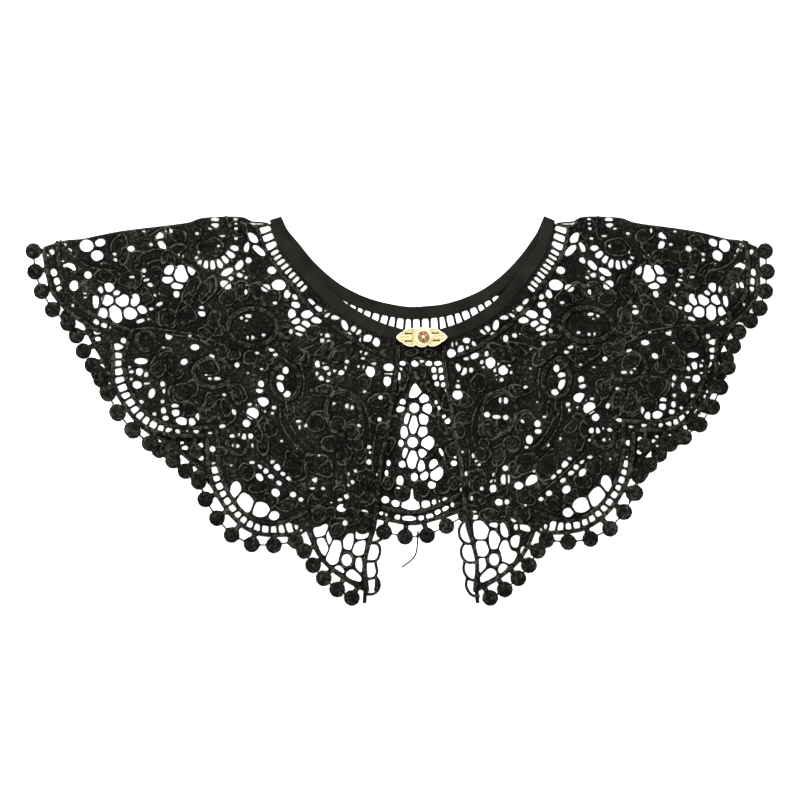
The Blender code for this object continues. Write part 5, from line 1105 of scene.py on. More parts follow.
        used = np.unique(starts)
        spot_of = np.full(len(place), -1)
        spot_of[used] = np.arange(len(used))
        flat = place[used] if fold is None else np.vstack([place[used], self.fold_points(fold)])
        sides = np.column_stack([spot_of[starts], spot_of[stops]]).tolist()
        corners, _, under, _, _, _ = delaunay_2d_cdt(flat.tolist(), sides, [], 0, 1e-7)
        if len(corners) != len(flat):
            raise ValueError(f"{name}: the underside has {len(corners)} points, not {len(flat)}")
        under = np.array(under)
        under = under[inside_edges(flat[under].mean(axis=1), place[starts], place[stops])]
        lower = np.full(len(flat), float(level))
        if fold is not None:
            order = np.argsort(fold[:, 0])
            lip = fold[order]
            lower[np.interp(flat[:, 0], *lip.T) - flat[:, 1] < LIP + SEAM / 2] = 0.0
            below = np.interp(place[:, 0], *lip.T) - place[:, 1]
            thick = level + GROUND
            upper -= thick * 0.5 * (1 - quarter_round(below / thick * 2))

        low = len(place) + spot_of
        spots = np.vstack([np.column_stack([place, upper]), np.column_stack([flat, lower])])
        walls = np.vstack([
            np.column_stack([stops, starts, low[starts]]),
            np.column_stack([stops, low[starts], low[stops]]),
        ])
        triangles = np.vstack([faces, walls, len(place) + under[:, ::-1]])
        made = mesh_piece(name, spots, triangles.tolist())
        made.data.polygons.foreach_set("use_smooth", np.arange(len(triangles)) < len(faces) + len(walls))
        lay = np.column_stack([self.run[source], self.side[source], np.zeros(len(place))])
        note_lay(made, np.vstack([lay, np.column_stack([flat, np.ones(len(flat))])]))
        # The painted light and shade at each point: painted highlights and shade from the relief above, an
        # even level below.
        tone = np.concatenate([self.tone[source], np.full(len(flat), UNDERSIDE_TONE)])
        made.data.attributes.new("tone", "FLOAT", "POINT").data.foreach_set("value", tone)
        return made


def frame_shift():
    """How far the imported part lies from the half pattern's own origin."""
    low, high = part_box("clasp_hook_half")
    tip = CLASP_MIDDLE[0] + CLASP_EDGE[0][0] * math.cos(math.radians(CLASP_TURN))
    return np.array([high.x / MM - tip, (low.y + high.y) / 2 / MM - CLASP_MIDDLE[1]])


def front_neck_edge(tuck=0.0):
    """The neck edge of a front, tucked so far into the folded binding."""
    edge = shifted(smooth(NECK_FRONT, OUTLINE_STEP), tuck - BINDING_WIDTH / 2)
    return edge[edge[:, 0] < FRONT_EDGE[-1][0] - 1.0]


def back_neck_edge(tuck=0.0):
    """The same of the back, which ends below the two folds."""
    line = smooth((NECK_FRONT[0], *NECK_BACK, *half_turned(NECK_FRONT[:1])), OUTLINE_STEP)
    edge = shifted(line, tuck - BINDING_WIDTH / 2)
    return edge[edge[:, 1] < FOLD[0][1] - LIP - 2 * SEAM - 3.0]


def hem_edge(cord):
    return list(shifted(smooth(cord, HEM_STEP), -HEM_HALF))


def lumpy_fold():
    """The shoulder fold, where padded motifs lift the turned edge a little unevenly."""
    line = smooth(FOLD, OUTLINE_STEP)
    lumps = FOLD_LUMPS * (np.sin(line[:, 0] * 0.62) + 0.8 * np.sin(line[:, 0] * 0.27 + 1.0))
    ends = np.clip(np.minimum(line[:, 0] - line[0, 0], line[-1, 0] - line[:, 0]) / 6.0, 0, 1)
    return line + np.column_stack([np.zeros(len(line)), lumps * ends])


def front_outline():
    base = list(lumpy_fold())
    for hem in (HEM_ONE, HEM_TWO, HEM_THREE, HEM_TIP):
        base += hem_edge(hem)
    edge = list(smooth(FRONT_EDGE, OUTLINE_STEP))
    return np.array(base + list(TIP) + edge + list(front_neck_edge(NECK_TUCK)[::-1]))


def back_outline():
    fold = [(x, y - LIP - 2 * SEAM) for x, y in smooth(BACK_FOLD, OUTLINE_STEP)]
    half = fold + hem_edge(BACK_HEM) + hem_edge(HEM_THREE[3:]) + [BACK_VALLEY]
    other = laid(half, True, BACK_TUCK)[::-1]
    return np.array(half + hem_edge(BACK_HEM_CENTRE) + list(other) + list(back_neck_edge(NECK_TUCK)[::-1]))


def front_gaps():
    """Every gap of a front, with how far each is let out."""
    gaps = [(oval(*row), NET_EASE) for row in SHARED_GAPS]
    gaps += [(small_gap(*row), SMALL_EASE) for row in SMALL_GAPS]
    under_binding = smooth(NECK_CORD, 1.0)
    for first, last, pitch, rung, clear in NECK_RUNGS:
        stretch = under_binding[(under_binding[:, 1] <= first) & (under_binding[:, 1] > last)]
        gaps += [(gap, 0.0) for gap in ladder(stretch, front_neck_edge(), pitch, clear, rung, NECK_LEAST)]
    gaps += [(gap, 0.0) for gap in ladder(HEM_TWO, INNER_TWO)]
    gaps += [(gap, 0.0) for gap in ladder(HEM_THREE, INNER_THREE) if gap[:, 1].mean() < THIRD_LADDER_TOP]
    return gaps


def half_gaps(turned):
    """The gaps of one half where they lie. Over the chest the right front has its own ones."""
    gaps = [(laid(gap, turned), ease) for gap, ease in front_gaps()]
    if turned:
        for corners in (RIGHT_CHEST, RIGHT_LAP):
            low, high = np.array(spots_on_grid(corners))
            middles = np.array([gap.mean(axis=0) for gap, _ in gaps])
            replaced = ((middles > low) & (middles < high)).all(axis=1)
            gaps = [gap for gap, gone in zip(gaps, replaced) if not gone]
        gaps += [(small_gap(*row), SMALL_EASE) for row in RIGHT_CHEST_GAPS]
        gaps += [(outline_on_grid(row), SMALL_EASE) for row in RIGHT_LAP_OUTLINES]
    return gaps


def hang_balls(relief, rows, turned=False, tuck=0.0):
    """The row of balls under a hem's cord, with the neck of each and the thread from one to the next."""
    for count, cord, centres in rows:
        cord = laid(smooth(cord, FINE_LINE), turned, tuck)
        line = smooth(centres, FINE_LINE)
        centres = laid(line[np.linspace(0, len(line) - 1, count).round().astype(int)], turned, tuck)
        for centre in centres:
            foot = cord[np.linalg.norm(cord - centre, axis=1).argmin()]
            relief.cord([foot, centre], BALL_NECK_HALF, BALL_NECK_RISE)
        for one, two in zip(centres, centres[1:]):
            if np.linalg.norm(two - one) < 4 * BALL_RADIUS:
                relief.cord([one, two], BALL_THREAD_HALF, BALL_THREAD_RISE)
        for centre in centres:
            relief.ball(centre)


def lay_cords(relief, lines, turned=False, tuck=0.0):
    for line in lines:
        relief.cord(laid(smooth(line, LINE), turned, tuck), HEM_HALF, CORD_RISE, ridges=2)


def lay_stems(relief, stems, half, height, turned=False, tone=STEM_HIGHLIGHT):
    for points in stems:
        relief.cord(laid(smooth(spots_on_grid(points), LINE), turned), half, height, tone)


def lay_rings(relief, rings, turned=False):
    for ring in rings:
        relief.cord(laid(ring_line(*ring), turned), RING_HALF, CORD_RISE, ridges=2)


def lay_eyelets(relief, eyelets):
    """Corded eyelets that stand in a net."""
    for x, y, half_length, half_width in eyelets:
        relief.cord(ring_line(x, y, half_length, half_width, 0), EYELET_HALF, EYELET_RISE)


def lay_motifs(relief, motifs, turned=False):
    """Motifs by name. One whose name has no lobes of its own is a single petal."""
    for kind, x, y, half_length, half_width, turn in motifs:
        if turned:
            (x, y), turn = half_turned([(x, y)])[0], 180 - turn
        relief.motif(kind, x, y, half_length, half_width, turn)


def tip_net(relief, turned):
    """The open net of a front's tip, its eyelet, and the picot loops that hang from the front edge there."""
    tip = (RIGHT_TIP_CELLS, RIGHT_TIP_EYELET, RIGHT_PICOTS) if turned else (TIP_CELLS, TIP_EYELET, PICOTS)
    cells, eyelet, loops = tip
    for cell in cells:
        relief.cut(outline_on_grid(cell))
    x, y, across_half, high_half = eyelet
    relief.cut(oval(x, y, across_half - EYELET_HALF, high_half - EYELET_HALF))
    relief.open_gaps(grow=0.0, bar=TIP_BAR)
    lay_eyelets(relief, (eyelet,))
    lay_stems(relief, STEMS, STEM_HALF, STEM_RISE, turned)
    lay_stems(relief, loops, PICOT_HALF, STEM_RISE, tone=PICOT_HIGHLIGHT)
    if not turned:
        lay_stems(relief, (PICOT_KNOT,), KNOT_HALF, CORD_RISE, tone=KNOT_HIGHLIGHT)


def front_lace(name, turned):
    outline = laid(front_outline(), turned)
    low, high = outline.min(axis=0) - MARGIN, outline.max(axis=0) + MARGIN
    relief = Relief(np.arange(low[0], high[0], FRONT_PITCH), np.arange(low[1], high[1], FRONT_PITCH))
    relief.join(outline)
    lay_motifs(relief, SHARED_MOTIFS + FRONT_MOTIFS + motifs_on_grid(FINE_MOTIFS), turned)
    lay_rings(relief, SHARED_RINGS + FRONT_RINGS, turned)
    for gap, ease in half_gaps(turned):
        relief.cut(gap, ease)
    relief.open_gaps()
    tip_net(relief, turned)
    lay_cords(relief, (HEM_ONE, HEM_TWO, HEM_THREE, HEM_TIP, FRONT_EDGE), turned)
    lay_cords(relief, (INNER_ONE, INNER_TWO, INNER_THREE, NECK_CORD), turned)
    relief.press_under(laid(front_neck_edge(NECK_TUCK), turned))
    hang_balls(relief, FRONT_BALLS, turned)
    relief.stitch_ground()
    return relief.skin(name, LAYER, laid(FOLD, turned)), area_of(outline)


def back_lace():
    outline = back_outline()
    low, high = outline.min(axis=0) - MARGIN, outline.max(axis=0) + MARGIN
    columns = np.concatenate([
        np.arange(low[0], -BACK_FINE_REACH, BACK_COARSE),
        np.arange(-BACK_FINE_REACH, BACK_FINE_REACH, BACK_FINE),
        np.arange(BACK_FINE_REACH, high[0], BACK_COARSE),
    ])
    relief = Relief(columns, np.arange(low[1], high[1], BACK_ROWS))
    relief.join(outline)
    for turned in (False, True):
        lay_motifs(relief, SHARED_MOTIFS, turned)
        lay_rings(relief, SHARED_RINGS, turned)
    lay_motifs(relief, CENTRE_MOTIFS + motifs_on_grid(CENTRE_FINE_MOTIFS))
    for gap, ease in half_gaps(False) + half_gaps(True):
        relief.cut(gap, ease)
    relief.open_gaps()
    for row in CENTRE_GAPS:
        relief.cut(oval(*row), NET_EASE)
    for row in CENTRE_SMALL_GAPS:
        relief.cut(small_gap(*row), SMALL_EASE)
    for points in (CURL_GAP, KITE_GAP):
        relief.cut(outline_on_grid(points), SMALL_EASE)
    under_neck = shifted(smooth(NECK_BACK, BACK_LADDER_STEP), -(BINDING_WIDTH / 2 + BACK_LADDER_DROP))
    rungs = ladder(
        under_neck[BACK_LADDER_SHOWN], back_neck_edge(), clear=BACK_LADDER_CLEAR, widest=BACK_LADDER_WIDEST
    )
    for gap in rungs:
        relief.cut(gap)
    relief.open_gaps()
    lay_eyelets(relief, CENTRE_EYELETS)
    lay_cords(relief, (BACK_HEM_CENTRE, INNER_CENTRE))
    for turned in (False, True):
        lay_cords(relief, (BACK_HEM, HEM_THREE), turned, BACK_TUCK)
        lay_cords(relief, (INNER_TWO, INNER_THREE), turned)
    relief.press_under(back_neck_edge(NECK_TUCK))
    for turned in (False, True):
        hang_balls(relief, BACK_BALLS, turned, BACK_TUCK)
    hang_balls(relief, (CENTRE_BALLS,))
    relief.cord(smooth(LOOSE_THREAD, 1.0), LOOSE_HALF, LOOSE_RISE)
    relief.stitch_ground()
    return relief.skin("back_lace", 0.0), area_of(outline)


def binding_route():
    """Stations along the strip: place, the way it runs, and that way on the plan.

    It runs down from the clasp end of one front, under at the shoulder fold, round the back and up again.
    """
    front = smooth(NECK_FRONT, BINDING_STEP)[::-1]
    other = laid(front, True)[::-1]
    back = smooth((front[-1], *NECK_BACK, other[0]), BINDING_STEP)
    over, under = LAYER + BINDING_THICK / 2, BINDING_THICK / 2
    middle, radius = (over + under) / 2, (over - under) / 2
    stations = []

    def run(path, height):
        for place, way in zip(path, headings(path)):
            stations.append((np.array([*place, height]), np.array([*way, 0.0]), way))

    def turn(place, down):
        way = stations[-1][2]
        for angle in np.radians(np.arange(FOLD_STEP, 180, FOLD_STEP)):
            ahead, height = radius * math.sin(angle), down * radius * math.cos(angle)
            spot = np.array([*(place + ahead * way), middle + height])
            stations.append((spot, np.array([*(math.cos(angle) * way), -down * math.sin(angle)]), way))

    run(front, over)
    turn(front[-1], 1)
    run(back, under)
    turn(back[-1], -1)
    run(other, over)
    return stations


def strip_section():
    """The folded strip's outline across, with its two edges rounded."""
    half, thick = BINDING_WIDTH / 2, BINDING_THICK / 2
    angles = np.radians(np.linspace(-90, 90, CORNERS_ROUND))
    round_end = np.column_stack([np.cos(angles), np.sin(angles)]) * (BINDING_EASE, thick)
    flat = np.linspace(half - BINDING_EASE, -half + BINDING_EASE, CORNERS_ACROSS)[1:-1]
    section = [(half - BINDING_EASE + u, v) for u, v in round_end]
    section += [(u, thick) for u in flat]
    section += [(-half + BINDING_EASE - u, -v) for u, v in round_end]
    section += [(u, -thick) for u in flat[::-1]]
    return np.array(section)


def bias_strip():
    """The folded strip: both faces puckered a little along a row of stitches near the outer edge."""
    half, thick = BINDING_WIDTH / 2, BINDING_THICK / 2
    section, route = strip_section(), binding_route()
    seam = np.exp(-(((section[:, 0] - (half - STITCH_IN)) / STITCH_GROOVE_WIDTH) ** 2))
    face = np.sign(section[:, 1]) * (abs(section[:, 1]) > 0.9 * thick)
    slack = np.clip((section[:, 0] + half) / half, 0, 1)
    spots, lay, walked = [], [], 0.0
    facing = np.zeros(3)
    for i, (spot, tangent, way) in enumerate(route):
        if i:
            walked += np.linalg.norm(spot - route[i - 1][0])
        across = np.array([-way[1], way[0], 0.0])
        if across @ facing < 0:
            across = -across
        facing = across
        up = np.cross(tangent, across)
        in_stitch = (walked % STITCH_PITCH) < STITCH_LONG
        drift = PUCKER_DRIFT * math.sin(walked / DRIFT_PITCH)
        pucker = PUCKER * math.sin(2 * math.pi * walked / PUCKER_PITCH + drift)
        lift = face * (pucker * slack - STITCH_GROOVE * seam * (1.0 - STITCH_FILL * in_stitch))
        for (u, v), more in zip(section, lift):
            spots.append(spot + u * across + (v + more) * up)
            lay.append((walked, u, v))
    count, rings = len(section), len(route)
    faces = []
    for ring in range(rings - 1):
        for i in range(count):
            a, b = ring * count + i, ring * count + (i + 1) % count
            faces.append((a, b, b + count, a + count))
    faces.append(tuple(range(count))[::-1])
    faces.append(tuple((rings - 1) * count + i for i in range(count)))
    made = mesh_piece("neck_bias_strip", spots, faces)
    outward(made)
    made.data.polygons.foreach_set("use_smooth", [True] * len(faces))
    note_lay(made, lay)
    return made, walked


def outward(made):
    mesh = bmesh.new()
    mesh.from_mesh(made.data)
    bmesh.ops.recalc_face_normals(mesh, faces=mesh.faces)
    mesh.to_mesh(made.data)
    mesh.free()


def alone(made):
    """Makes it the only thing selected, for the operator that comes next."""
    bpy.ops.object.select_all(action="DESELECT")
    made.select_set(True)
    bpy.context.view_layer.objects.active = made


def reshaped(move):
    """Moves each vertex of the primitive just added, given in millimetres, and puts its place in its mesh."""
    made = bpy.context.object
    bpy.ops.object.transform_apply(location=True, rotation=True, scale=True)
    for vertex in made.data.vertices:
        vertex.co = [c * MM for c in move(*(c / MM for c in vertex.co))]
    return made


def moved(made, by):
    """Moves a piece's points by so many metres, and leaves its origin."""
    spots = np.empty(len(made.data.vertices) * 3)
    made.data.vertices.foreach_get("co", spots)
    made.data.vertices.foreach_set("co", (spots.reshape(-1, 3) + by).ravel())
    made.data.update()


def finished_with(made, kind, **settings):
    alone(made)
    modifier = made.modifiers.new(kind.lower(), kind)
    for key, value in settings.items():
        setattr(modifier, key, value)
    bpy.ops.object.modifier_apply(modifier=modifier.name)


def combined(made, other, operation):
    finished_with(made, "BOOLEAN", operation=operation, solver="EXACT", object=other)
    bpy.data.objects.remove(other, do_unlink=True)
    return made


def plate_outline():
    upper = list(CLASP_EDGE) + [(-x, y) for x, y in CLASP_EDGE[-2::-1]]
    outline = np.array(upper + [(x, -y) for x, y in upper[-2:0:-1]])
    return rounded(outline, 1)


def blank_plate():
    """The casting's outline raised to its thickness, with its field let in inside a raised edge."""
    outline = plate_outline()
    bpy.ops.mesh.primitive_circle_add(vertices=len(outline), radius=MM, fill_type="NGON")
    plate = bpy.context.object
    for vertex, (x, y) in zip(plate.data.vertices, outline):
        vertex.co = (x * MM, y * MM, 0.0)
    alone(plate)
    bpy.ops.object.mode_set(mode="EDIT")
    bpy.ops.mesh.select_all(action="SELECT")
    bpy.ops.mesh.extrude_region_move(TRANSFORM_OT_translate={"value": (0, 0, PLATE_THICK * MM)})
    bpy.ops.mesh.inset(thickness=PLATE_RIM * MM, depth=0.0)
    bpy.ops.mesh.inset(thickness=PLATE_SLOPE * MM, depth=-PLATE_FIELD * MM)
    bpy.ops.object.mode_set(mode="OBJECT")
    outward(plate)
    return plate


def flared_slot(x, y):
    half_length, half_width, flare = CLASP_SLOT
    bpy.ops.mesh.primitive_cube_add(size=2 * MM)
    slot = reshaped(lambda u, v, w: (x + u * half_length, y + v * half_width, w * SLOT_CUT))
    for side in (-1, 1):
        bpy.ops.mesh.primitive_cylinder_add(vertices=14, radius=flare * MM, depth=2 * FLARE_CUT * MM)
        end = reshaped(lambda u, v, w: (x + u + side * half_length, y + v, w))
        combined(slot, end, "UNION")
    return slot


def wire_loop(x, y):
    bpy.ops.mesh.primitive_torus_add(
        major_radius=LOOP_RADIUS * MM, minor_radius=LOOP_WIRE * MM, major_segments=24, minor_segments=8
    )
    stretch = LOOP_HALF - LOOP_RADIUS
    return reshaped(
        lambda u, v, w: (x + u + math.copysign(stretch, u + 1e-4), y + v, w + PLATE_THICK - LOOP_SUNK)
    )


def dished_boss():
    bpy.ops.mesh.primitive_cylinder_add(vertices=48, radius=BOSS_RADIUS * MM, depth=BOSS_THICK * MM)
    x, y = CLASP_BOSS
    boss = reshaped(lambda u, v, w: (u + x, v + y, w + PLATE_THICK - PLATE_FIELD + BOSS_LIFT))
    alone(boss)
    bpy.ops.object.mode_set(mode="EDIT")
    bpy.ops.mesh.select_mode(type="FACE")
    bpy.ops.mesh.select_all(action="DESELECT")
    bpy.ops.object.mode_set(mode="OBJECT")
    for face in boss.data.polygons:
        face.select = face.normal.z > 0.9
    bpy.ops.object.mode_set(mode="EDIT")
    bpy.ops.mesh.inset(thickness=BOSS_RIM * MM, depth=0.0)
    bpy.ops.mesh.inset(thickness=BOSS_SLOPE * MM, depth=-BOSS_DISH * MM)
    bpy.ops.object.mode_set(mode="OBJECT")
    return boss


def clasp_plate():
    """The whole casting: a raised edge round a lower field, slots and loops on both arms, and a boss."""
    plate = blank_plate()
    for place in SLOT_PLACES:
        combined(plate, flared_slot(*place), "DIFFERENCE")
    for place in ARM_LOOPS:
        combined(plate, wire_loop(*place), "UNION")
    return combined(plate, dished_boss(), "UNION")


def bevelled(made, width):
    limit = math.radians(BEVEL_ABOVE)
    finished_with(made, "BEVEL", width=width * MM, segments=2, limit_method="ANGLE", angle_limit=limit)


def smoothed(made, under):
    """Shades it smooth across edges that turn by less than so many degrees."""
    alone(made)
    bpy.ops.object.shade_smooth_by_angle(angle=math.radians(under))


def set_on_neck(made):
    """From the clasp's own middle to its place on the binding."""
    turn = math.radians(CLASP_TURN)
    shift = frame_shift()
    for vertex in made.data.vertices:
        x, y, z = (c / MM for c in vertex.co)
        vertex.co = (
            (CLASP_MIDDLE[0] + x * math.cos(turn) - y * math.sin(turn) + shift[0]) * MM,
            (CLASP_MIDDLE[1] + x * math.sin(turn) + y * math.cos(turn) + shift[1]) * MM,
            (z + PLATE_LEVEL) * MM,
        )
    return made


def clasp_arm(name, low, high):
    """The stretch of the casting between two places along it."""
    plate = clasp_plate()
    bpy.ops.mesh.primitive_cube_add(size=2 * MM)
    keep = reshaped(lambda u, v, w: ((low + high) / 2 + u * (high - low) / 2, 10 * v, 10 * w))
    combined(plate, keep, "INTERSECT")
    plate.name = plate.data.name = name
    bevelled(plate, CAST_EDGE)
    smoothed(plate, ARM_SMOOTH)
    return set_on_neck(plate)


def clasp_flower():
    """Five enamel petals round a bead, on a small dish."""
    bpy.ops.mesh.primitive_cylinder_add(vertices=40, radius=FLOWER_RADIUS * MM, depth=FLOWER_DISH * MM)
    dish = reshaped(lambda u, v, w: (u, v, w + FLOWER_DISH / 2))
    dish.name = dish.data.name = "clasp_flower"
    bevelled(dish, DISH_EDGE)
    for petal in range(PETALS):
        angle = 2 * math.pi * (petal + 0.25) / PETALS
        across, up = math.cos(angle), math.sin(angle)

        def petal_point(u, v, w):
            out, aside = PETAL_REACH + PETAL_RADIUS * u, PETAL_RADIUS * v
            return out * across - aside * up, out * up + aside * across, PETAL_LEVEL + PETAL_RISE * w

        bpy.ops.mesh.primitive_uv_sphere_add(segments=20, ring_count=10, radius=MM)
        combined(dish, reshaped(petal_point), "UNION")
    bpy.ops.mesh.primitive_uv_sphere_add(segments=24, ring_count=12, radius=MM)
    bead = reshaped(lambda u, v, w: (BEAD_RADIUS * u, BEAD_RADIUS * v, BEAD_LEVEL + BEAD_RISE * w))
    combined(dish, bead, "UNION")
    smoothed(dish, FLOWER_SMOOTH)
    moved(dish, np.array([*CLASP_BOSS, PLATE_THICK + FLOWER_LIFT + SEAM]) * MM)
    return set_on_neck(dish)


def linear(code):
    """A colour from its sRGB hex code."""
    parts = [int(code[i : i + 2], 16) / 255 for i in (1, 3, 5)]
    return tuple(c / 12.92 if c <= 0.04045 else ((c + 0.055) / 1.055) ** 2.4 for c in parts) + (1.0,)


def new_material(name, base, **sockets):
    """A material and its node tree, with the shader's constants on its own sockets."""
    made = bpy.data.materials.new(name)
    made.use_nodes = True
    shader = made.node_tree.nodes["Principled BSDF"]
    shader.inputs["Base Color"].default_value = linear(base)
    for key, value in sockets.items():
        shader.inputs[key.replace("_", " ")].default_value = value
    return made, made.node_tree


def add_node(tree, kind, settings, links):
    """A shader node with its settings, and links into its inputs from other nodes' outputs.

    The setting "stops" gives a colour ramp its places and colours, from the first to the last.
    """
    node = tree.nodes.new("ShaderNode" + kind)
    for key, value in settings.items():
        if key == "stops":
            elements = node.color_ramp.elements
            for element, (place, colour) in zip(elements, (value[0], value[-1])):
                element.position, element.color = place, linear(colour)
            for place, colour in value[1:-1]:
                elements.new(place).color = linear(colour)
        elif isinstance(key, str) and hasattr(node, key):
            setattr(node, key, value)
        else:
            node.inputs[key].default_value = value
    for key, output in links.items():
        tree.links.new(output, node.inputs[key])
    return node


def wire(tree, rows):
    """Adds a node for each row: its name, kind, settings, and links as node.output. Links the shader last."""
    nodes = {}

    def output(link):
        name, socket = link.split(".")
        return nodes[name].outputs[socket]

    for name, kind, settings, links in rows:
        nodes[name] = add_node(tree, kind, settings, {key: output(link) for key, link in links.items()})
    shader = tree.nodes["Principled BSDF"]
    tree.links.new(output("colour.Color"), shader.inputs["Base Color"])
    if "bump" in nodes:
        tree.links.new(output("bump.Normal"), shader.inputs["Normal"])


def grain(size):
    """The scale of a noise whose grain is so many millimetres across."""
    return 1 / (size * MM)


def bands(spacing):
    """The scale of a wave whose bands lie so many millimetres apart. It turns by 20 radians at scale 1."""
    return 2 * math.pi / 20 / (spacing * MM)


def rayon_thread():
    """Embroidery rayon: near black and a little warm, with a soft silky light along each thread.

    Its colour carries painted light: a painted highlight along each cord and outline, broken up as stitches
    break it, and painted shade in pits and grooves. Small patches mottle it at random and also stand for
    painted glints; broad ones vary it at random.
    """
    made, tree = new_material("black rayon embroidery thread", "#1d1b19",
                              Roughness=0.5, Specular_IOR_Level=0.07)
    # Ramp from painted shade in pits, through the thread's own near black, to the painted highlight colour on
    # cords and outlines.
    stops = ((0.38, "#010101"), (0.62, "#161410"), (1.0, "#504e46"))
    twist = {"Scale": bands(THREAD_SPACING), "Distortion": 1.5, "Detail": 2.0, "bands_direction": "X"}
    wire(tree, (
        ("tone", "Attribute", {"attribute_name": "tone"}, {}),
        ("lay", "Attribute", {"attribute_name": "lay"}, {}),
        ("place", "TexCoord", {}, {}),
        # Small patches: a random mottle that also stands for scattered painted glints of the thread.
        ("patches", "TexNoise", {"Scale": grain(THREAD_PATCHES), "Detail": 3.0}, {"Vector": "place.Object"}),
        ("fading", "TexNoise", {"Scale": grain(THREAD_FADING), "Detail": 2.0}, {"Vector": "place.Object"}),
        ("faded", "Math", {"operation": "MULTIPLY_ADD", 1: 0.35, 2: -0.2}, {0: "fading.Fac"}),
        ("mottled", "Math", {"operation": "ADD"}, {0: "patches.Fac", 1: "faded.Value"}),
        # Breaks up the painted highlight along the cords and outlines.
        ("stitches", "TexNoise", {"Scale": grain(STITCH_GLINTS), "Detail": 1.0}, {"Vector": "place.Object"}),
        ("broken", "Math", {"operation": "MULTIPLY_ADD", 1: 2.8, 2: -0.65}, {0: "stitches.Fac"}),
        ("lit", "Math", {"operation": "MULTIPLY"}, {0: "tone.Fac", 1: "broken.Value"}),
        ("light", "Math", {"operation": "MULTIPLY_ADD", 1: 0.7}, {0: "lit.Value", 2: "mottled.Value"}),
        ("colour", "ValToRGB", {"stops": stops}, {"Fac": "light.Value"}),
        ("threads", "TexWave", twist, {"Vector": "lay.Vector"}),
        ("fuzz", "TexNoise", {"Scale": grain(THREAD_FUZZ), "Detail": 2.0}, {"Vector": "place.Object"}),
        ("both", "Math", {"operation": "ADD"}, {0: "threads.Fac", 1: "fuzz.Fac"}),
        ("bump", "Bump", {"Strength": 0.6, "Distance": 0.25 * MM}, {"Height": "both.Value"}),
    ))
    return made


def bias_tape():
    """Matte cotton tape, woven on the slant: fine crossed ribs whose crests carry a painted highlight, and
    broad random lighter patches.
    """
    made, tree = new_material("black cotton bias tape", "#1b1a18", Roughness=0.85, Specular_IOR_Level=0.12)
    rib = {"Scale": bands(WEAVE_SPACING), "Distortion": 0.6}
    wire(tree, (
        ("lay", "Attribute", {"attribute_name": "lay"}, {}),
        ("place", "TexCoord", {}, {}),
        ("slanted", "Mapping", {"Rotation": (0.0, 0.0, math.radians(45))}, {"Vector": "lay.Vector"}),
        ("weft", "TexWave", {**rib, "bands_direction": "X"}, {"Vector": "slanted.Vector"}),
        ("warp", "TexWave", {**rib, "bands_direction": "Y"}, {"Vector": "slanted.Vector"}),
        ("weave", "Math", {"operation": "MULTIPLY"}, {0: "weft.Fac", 1: "warp.Fac"}),
        ("worn", "TexNoise", {"Scale": grain(WEAVE_BLOTCHES), "Detail": 4.0}, {"Vector": "place.Object"}),
        # Lighter where the ribs cross, a painted highlight on their crests, and in broad random patches.
        ("light", "Math", {"operation": "MULTIPLY_ADD", 1: 0.25}, {0: "weave.Value", 2: "worn.Fac"}),
        ("colour", "ValToRGB", {"stops": ((0.35, "#0d0c0a"), (0.85, "#23211d"))}, {"Fac": "light.Value"}),
        ("bump", "Bump", {"Strength": 0.4, "Distance": 0.1 * MM}, {"Height": "weave.Value"}),
    ))
    return made


def shaded_by_height(low, high, size, detail, part, stops):
    """Rows that colour a piece by its height between two levels, broken up by so much of a grain."""
    return (
        ("place", "TexCoord", {}, {}),
        ("parts", "SeparateXYZ", {}, {"Vector": "place.Object"}),
        ("grain", "TexNoise", {"Scale": grain(size), "Detail": detail}, {"Vector": "place.Object"}),
        ("height", "MapRange", {"From Min": low * MM, "From Max": high * MM}, {"Value": "parts.Z"}),
        ("light", "Math", {"operation": "MULTIPLY_ADD", 1: part}, {0: "grain.Fac", 2: "height.Result"}),
        ("colour", "ValToRGB", {"stops": stops}, {"Fac": "light.Value"}),
    )


def gilt_casting():
    """Pale gilt over a fine-grained casting, coloured by height: a painted highlight on the raised edges, and
    painted shade in the corners at their foot.
    """
    made, tree = new_material("pale gilt casting", "#f1dfae", Roughness=0.42, Metallic=0.3)
    edge = PLATE_LEVEL + PLATE_THICK
    # Low in the field a pale gilt, a brown painted shade on the slope up to the raised edge, and a painted
    # highlight, near cream, on top of it.
    stops = (
        (0.1, "#d2bd84"), (0.28, "#dccb97"), (0.42, "#8d6c3c"), (0.7, "#a98a52"), (0.9, "#e9d9a4"),
        (1.0, "#f5edcd"),
    )
    wire(tree, (
        *shaded_by_height(edge - PLATE_FIELD, edge, CASTING_GRAIN, 4.0, 0.35, stops),
        ("bump", "Bump", {"Strength": 0.25, "Distance": 0.1 * MM}, {"Height": "grain.Fac"}),
    ))
    return made


def amber_enamel():
    """Clear amber enamel, coloured by height: pale dish, painted brown shadow low between the petals, and
    petals and bead painted lighter toward their tops, where the bead shows its own cream.
    """
    made, tree = new_material("amber enamel", "#c08a4a", Roughness=0.18, Coat_Weight=0.6)
    foot = PLATE_LEVEL + PLATE_THICK + FLOWER_LIFT + SEAM
    # By height: pale dish rim, painted brown shadow low between the petals, amber petals painted lighter
    # upward, and the cream top of the bead.
    stops = (
        (0.12, "#d9c38c"), (0.22, "#5f3c18"), (0.5, "#94632c"), (0.72, "#bd8f58"), (0.88, "#e0bd98"),
        (0.95, "#f6dcc8"),
    )
    wire(tree, shaded_by_height(foot + 0.4, foot + 1.9, ENAMEL_SWIRL, 2.0, 0.3, stops))
    return made


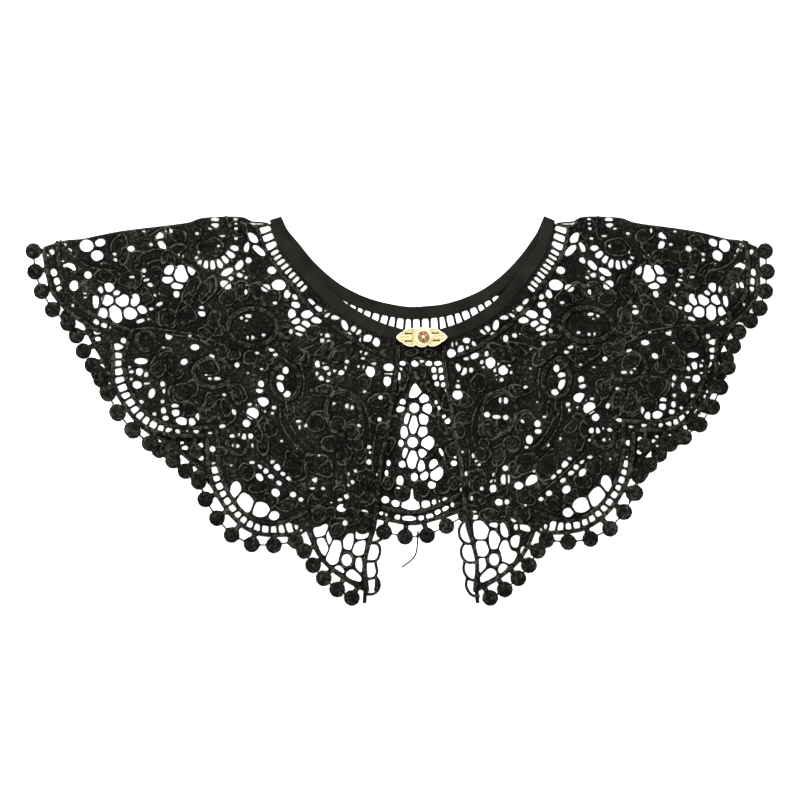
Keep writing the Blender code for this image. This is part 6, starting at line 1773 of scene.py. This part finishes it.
def studio():
    """A pale floor, soft light from above and a camera straight over the collar."""
    bpy.ops.mesh.primitive_plane_add(size=FLOOR_SIZE, location=(0, 0, 0))
    floor = bpy.context.object
    floor.name = "floor"
    white = linear("#ffffff")
    glow = {"Emission_Color": white, "Emission_Strength": FLOOR_GLOW}
    floor.data.materials.append(new_material("white paper", "#fbfbfa", Roughness=0.9, **glow)[0])
    scene = bpy.context.scene
    scene.world = scene.world or bpy.data.worlds.new("studio")
    scene.world.use_nodes = True
    sky = scene.world.node_tree.nodes["Background"]
    sky.inputs["Color"].default_value = white
    sky.inputs["Strength"].default_value = SKY_LIGHT
    for name, place, size, power in LAMPS:
        light = bpy.data.lights.new(name, "AREA")
        light.energy, light.size = power, size
        lamp = bpy.data.objects.new(name, light)
        lamp.location = place
        lamp.rotation_mode = "QUATERNION"
        lamp.rotation_quaternion = (-lamp.location).to_track_quat("-Z", "Y")
        scene.collection.objects.link(lamp)
    lens = bpy.data.cameras.new("camera")
    lens.type, lens.ortho_scale = "ORTHO", CAMERA_WIDTH
    camera = bpy.data.objects.new("camera", lens)
    camera.location = CAMERA_PLACE
    scene.collection.objects.link(camera)
    scene.camera = camera
    scene.view_settings.view_transform = "Standard"


def placed(made, finish, node):
    """Gives a piece its finish, and says what it rides on and which CAD node it replaces."""
    made.data.materials.clear()
    made.data.materials.append(finish)
    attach(made, "root")
    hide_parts(node)


def dress():
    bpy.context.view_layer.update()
    thread = rayon_thread()
    shift = np.array([*frame_shift(), 0.0]) * MM
    for (made, area), node in (
        (back_lace(), "lace_back"),
        (front_lace("left_front_lace", False), "lace_front_left"),
        (front_lace("right_front_lace", True), "lace_front_right"),
    ):
        moved(made, shift)
        placed(made, thread, node)
    strip, length = bias_strip()
    moved(strip, shift)
    placed(strip, bias_tape(), "neck_binding")
    gilt = gilt_casting()
    placed(clasp_arm("clasp_eye_arm", -CLASP_REACH, CLASP_SPLIT - SEAM / 2), gilt, "clasp_eye_half")
    placed(clasp_arm("clasp_hook_arm", CLASP_SPLIT + SEAM / 2, CLASP_REACH), gilt, "clasp_hook_half")
    placed(clasp_flower(), amber_enamel(), "clasp_rosette")
    studio()


dress()
